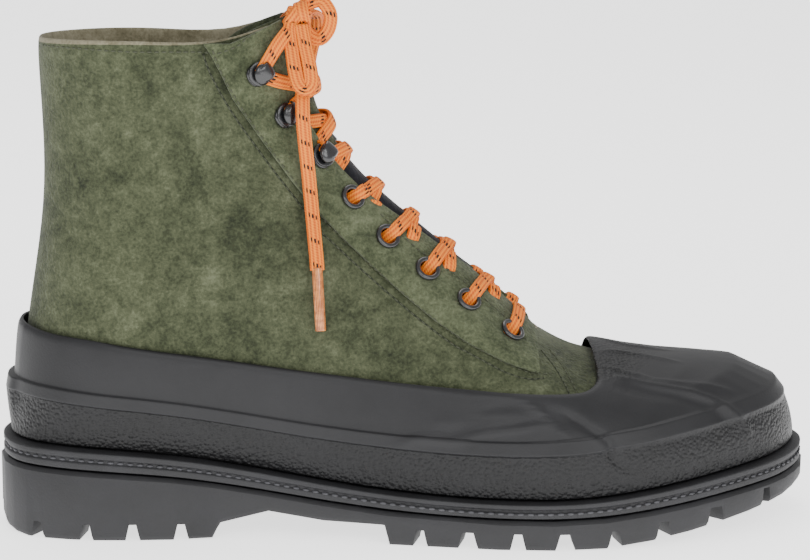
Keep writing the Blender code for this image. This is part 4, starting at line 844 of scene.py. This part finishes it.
eyeletWays = {}
for index in range(5):
    for side, tag in enumerate(("lateral", "medial")):
        eyeletWays[tuple(fastenings[index][side])] = flatWay(f"eyelet_{tag}_{index + 1}")


def normalAt(point):
    if tuple(point) in eyeletWays:
        return eyeletWays[tuple(point)]
    closest = upperTree.find_nearest(point)[1]
    outward = Vector((0.5, point.y - middleAt(point.x), 0.35))
    return closest if closest.dot(outward) > 0 else -closest


def heightOver(point, normal):
    return allTree.ray_cast(point + normal * 25 * mm, -normal)[0]


def strand(start, end, startNormal, endNormal, lifts, bothEnds=False, tucked=False):
    path = []
    whole = (end - start).length / mm
    rimEnd, tuckEnd = strandSet["rim"][0][-1], strandSet["tuck"][0][-1]
    for step in range(strandSet["steps"] + 1):
        t = step / strandSet["steps"]
        point = start.lerp(end, t)
        normal = startNormal.lerp(endNormal, t).normalized()
        lift = np.interp(t * (len(lifts) - 1), range(len(lifts)), lifts)
        run, fromEnd = t * whole, (1 - t) * whole
        near = min(run, fromEnd) if bothEnds else run
        if near < rimEnd:  # out of the eyelet and over its rim
            base, normal = (end, endNormal) if bothEnds and fromEnd < run else (start, startNormal)
            place = point - normal * (point - base).dot(normal)
            lift = np.interp(near, *strandSet["rim"])
        else:
            place = heightOver(point, normal)
            if place is None or (place - point).length > 14 * mm:
                place = point
            if tucked and fromEnd < tuckEnd:  # down under the other facing's edge
                ways, highs = strandSet["tuck"]
                lift = np.interp(fromEnd, ways, highs + (lift,))
        path.append((place + normal * float(lift) * mm, normal))
    for _ in range(2):  # a lace under tension cuts small hollows short
        path = [path[0]] + [((path[i - 1][0] + path[i][0] * 2 + path[i + 1][0]) / 4, path[i][1])
                            for i in range(1, len(path) - 1)] + [path[-1]]
    points = evenly([p for p, _ in path], strandSet["smooth"] * mm)
    normals = [path[min(int(i / len(points) * len(path)), len(path) - 1)][1] for i in range(len(points))]
    return list(zip(points, normals))


def throatEdge(side, row):
    low = int(math.floor(row))
    here = fastenings[low][side].lerp(fastenings[low + 1][side], row - low)
    there = fastenings[low][1 - side].lerp(fastenings[low + 1][1 - side], row - low)
    normal = normalAt(here)
    previous = here
    for step in range(1, 60):
        point = here.lerp(there, step / 120)
        onFacing = facingTree.ray_cast(point + normal * 20 * mm, -normal)[0]
        if onFacing is None or (onFacing - point).length > 8 * mm:
            break
        previous = onFacing
    return previous, normal


sideNames = ("Lateral", "Medial")
barStart, barEnd = fastenings[0]
barLifts = (2.1, 1.9, 1.6, 1.6, 1.6, 1.9, 2.1)
braid("laceBar", strand(barStart, barEnd, normalAt(barStart), normalAt(barEnd), barLifts, bothEnds=True),
      ["lace_bar_bottom"])
for row in range(1, 6):
    for side in (0, 1):  # the lateral strand passes over the medial one
        start = fastenings[row][side]
        edge, edgeNormal = throatEdge(1 - side, row - 0.45)
        beyond = edge + (edge - start).normalized() * 4 * mm
        lifts = ((0.8, 1.6, 1.4) if row == 5 else (2.1, 2.1, 1.5)) + (1.3, (2.6, 1.2)[side], 1.1, 1.0, 0.8)
        braid(f"laceStrand{sideNames[side]}{row}",
              strand(start, beyond, normalAt(start), edgeNormal, lifts, tucked=True),
              [] if side else [f"lace_crossing_{row}"])
for row in (5, 6):
    for side in (0, 1):
        start, end = fastenings[row][side], fastenings[row + 1][1 - side]
        over = (3.2, 1.2)[side]
        braid(f"laceHook{sideNames[side]}{row}",
              strand(start, end, normalAt(start), normalAt(end), (1.0, 1.6, 1.4, over, over, 1.4, 1.6, 1.0)),
              [] if side else [f"lace_crossing_{row + 1}"])
print("lace threaded")


# bow: routes in mm from the heel's back, the middle and the floor, and the way each one's flat side faces
def route(points):
    return [Vector(((x - heelBack) * mm, y * mm, z * mm)) for x, y, z in points]


knotPlace = route([(113.0, -20.0, 190.4)])[0]
ringRoute = ((112.6, -20.0, 189.6), (114.6, -20.0, 193.4), (118.0, -20.2, 195.2), (121.4, -20.8, 195.4),
             (124.4, -21.0, 190.9), (124.0, -20.8, 186.0), (121.8, -20.4, 182.6), (119.4, -20.2, 181.8),
             (116.4, -20.0, 183.6), (113.6, -20.0, 187.6))
foldRoute = ((110.4, -24.0, 188.4), (109.8, -24.8, 185.4), (110.6, -26.8, 178.0), (111.8, -28.8, 170.0),
             (113.2, -29.8, 165.9), (115.6, -30.0, 164.6), (117.5, -29.6, 167.0), (116.9, -28.8, 173.0),
             (115.4, -27.0, 180.0), (114.0, -25.0, 187.4))
endRoute = ((114.6, -20.4, 188.2), (115.0, -21.4, 180.0), (114.6, -23.2, 172.0), (114.3, -25.5, 164.0),
            (114.3, -28.2, 156.0), (114.8, -28.4, 148.0), (115.6, -27.8, 140.0), (116.4, -27.6, 132.0),
            (117.2, -28.6, 123.0), (118.2, -31.2, 112.0), (119.0, -33.4, 103.0), (119.2, -34.0, 99.5))
farRoute = ((113.8, -15.6, 190.6), (117.6, -8.0, 191.0), (119.6, 1.0, 188.4), (119.4, 10.0, 182.4),
            (117.4, 19.0, 174.0), (115.6, 25.6, 164.0), (114.8, 28.4, 156.0), (114.8, 28.8, 148.0),
            (115.6, 28.2, 140.0), (116.4, 28.0, 132.0), (117.2, 28.9, 123.0), (118.2, 31.5, 112.0),
            (119.0, 33.6, 103.0), (119.2, 34.2, 99.5))


def freeBraid(name, points, faceStart, faceEnd, node):
    run = evenly(route(points), 0.9 * mm)
    first, last = Vector(faceStart), Vector(faceEnd)
    faced = [(point, first.lerp(last, index / (len(run) - 1)).normalized()) for index, point in enumerate(run)]
    return braid(name, faced, [node]), run


agletSet = {"radius": 2.0, "length": 23, "flat": 0.8, "edge": 0.35, "ahead": 10.5}  # mm


def agletAt(name, node, run):
    bpy.ops.object.select_all(action="DESELECT")
    bpy.ops.mesh.primitive_cylinder_add(vertices=20, radius=agletSet["radius"] * mm, depth=agletSet["length"] * mm,
                                        location=(0, 0, 0))
    pattern = inEdit((bpy.ops.transform.resize, {"value": (1.0, agletSet["flat"], 1.0)}),
                     (bpy.ops.mesh.bevel, {"offset": agletSet["edge"] * mm, "segments": 2, "affect": "EDGES"}))
    ahead = (run[-1] - run[-4]).normalized()
    turn = ahead.to_track_quat("Z", "Y").to_matrix().to_4x4()
    turn.translation = run[-1] + ahead * agletSet["ahead"] * mm
    return copiesOf(name, pattern, [turn], aglet, [node])


ringPiece, ringRun = freeBraid("laceLoopRing", ringRoute, (0.25, -1, 0.1), (0.25, -1, 0.1), "lace_loop_ring")
foldPiece, foldRun = freeBraid("laceLoopFront", foldRoute, (-0.5, -1, 0.3), (0.5, -1, 0.3), "lace_loop_front")
endPiece, endRun = freeBraid("laceEndLateral", endRoute, (0.1, -1, 0.15), (0.1, -1, 0.15), "lace_end_lateral")
farPiece, farRun = freeBraid("laceEndMedial", farRoute, (0.1, -0.2, 1.0), (0.1, 1.4, 0.1), "lace_end_medial")
agletNear = agletAt("agletLateral", "aglet_lateral", endRun)
agletFar = agletAt("agletMedial", "aglet_medial", farRun)

knotTurns = [  # three flat turns of the lace round its own core: axis, size and shift
    ((0.25, 0.0, 1.0), (4.6, 5.4), (0, 0, 0)),
    ((1.0, 0.0, 0.2), (4.4, 5.0), (1.2, -1.2, 0.6)),
    ((0.8, 0.0, -0.6), (4.2, 4.8), (-1.6, -1.6, -0.6)),
]
for index, (tilt, size, shift) in enumerate(knotTurns):
    axis = Vector(tilt).normalized()
    sideways = axis.cross(Vector((0, 1, 0))).normalized()
    depthWay = axis.cross(sideways).normalized()
    ring = []
    for step in range(37):
        angle = 2 * math.pi * step / 36
        out = sideways * math.cos(angle) * size[0] * 0.8 + depthWay * math.sin(angle) * size[1] * 0.62
        ring.append((knotPlace + Vector(shift) * mm + out * mm, out.normalized()))
    braid(f"laceKnotTurn{index + 1}", ring, ["lace_knot"] if index == 0 else ())

topBends = [  # from each side's third hook up to the knot: share of the way, and how far it bows there
    ((0.4, (0, -2.5, 1.5)), (0.75, (0, -3.0, 1.0))),
    ((0.3, (2, 1, 6)), (0.65, (2, 0, 7))),
]
for side, bends in enumerate(topBends):
    start = fastenings[7][side]
    goal = knotPlace + Vector((0, 2 * side, -1.5)) * mm
    run = evenly([start] + [start.lerp(goal, share) + Vector(bow) * mm for share, bow in bends] + [goal], 0.9 * mm)
    first, last = normalAt(start), Vector((0.2, -0.4, 0.9)).normalized()
    pairs = [(point, first.lerp(last, index / len(run)).normalized()) for index, point in enumerate(run)]
    braid(f"laceTop{sideNames[side]}", pairs, [] if side else ["lace_bar_top"])

print("bow tied")


# floor of white paper that is lit from within, so it stays pale, and three soft lamps
studioSet = {"white": "#FFFFFF", "glow": 1.7, "world": 0.75}
bpy.ops.object.select_all(action="DESELECT")
bpy.ops.mesh.primitive_plane_add(size=8, location=(0, 0, -0.0002))
floor = bpy.context.object
floor.name = "studioFloor"
floorMaterial = newMaterial("studioPaper", {
    "Base Color": linear(studioSet["white"]), "Roughness": 0.9,
    "Emission Color": linear(studioSet["white"]), "Emission Strength": studioSet["glow"]})[0]
floor.data.materials.append(floorMaterial)

lamps = [  # place, size, power
    ((-0.3, -1.5, 0.9), 0.7, 7),
    ((0.7, -1.3, 0.8), 0.8, 9),
    ((0.0, 0.6, 1.6), 1.0, 8),
]
for place, size, power in lamps:
    bpy.ops.object.light_add(type="AREA", location=place)
    lamp = bpy.context.object
    lamp.data.size = size
    lamp.data.energy = power
    lamp.rotation_euler = (Vector((0, 0, 0.09)) - Vector(place)).to_track_quat("-Z", "Y").to_euler()
world = bpy.data.worlds.new("studio")
bpy.context.scene.world = world
world.use_nodes = True
world.node_tree.nodes["Background"].inputs[0].default_value = linear(studioSet["white"])
world.node_tree.nodes["Background"].inputs[1].default_value = studioSet["world"]
print("studio lit")
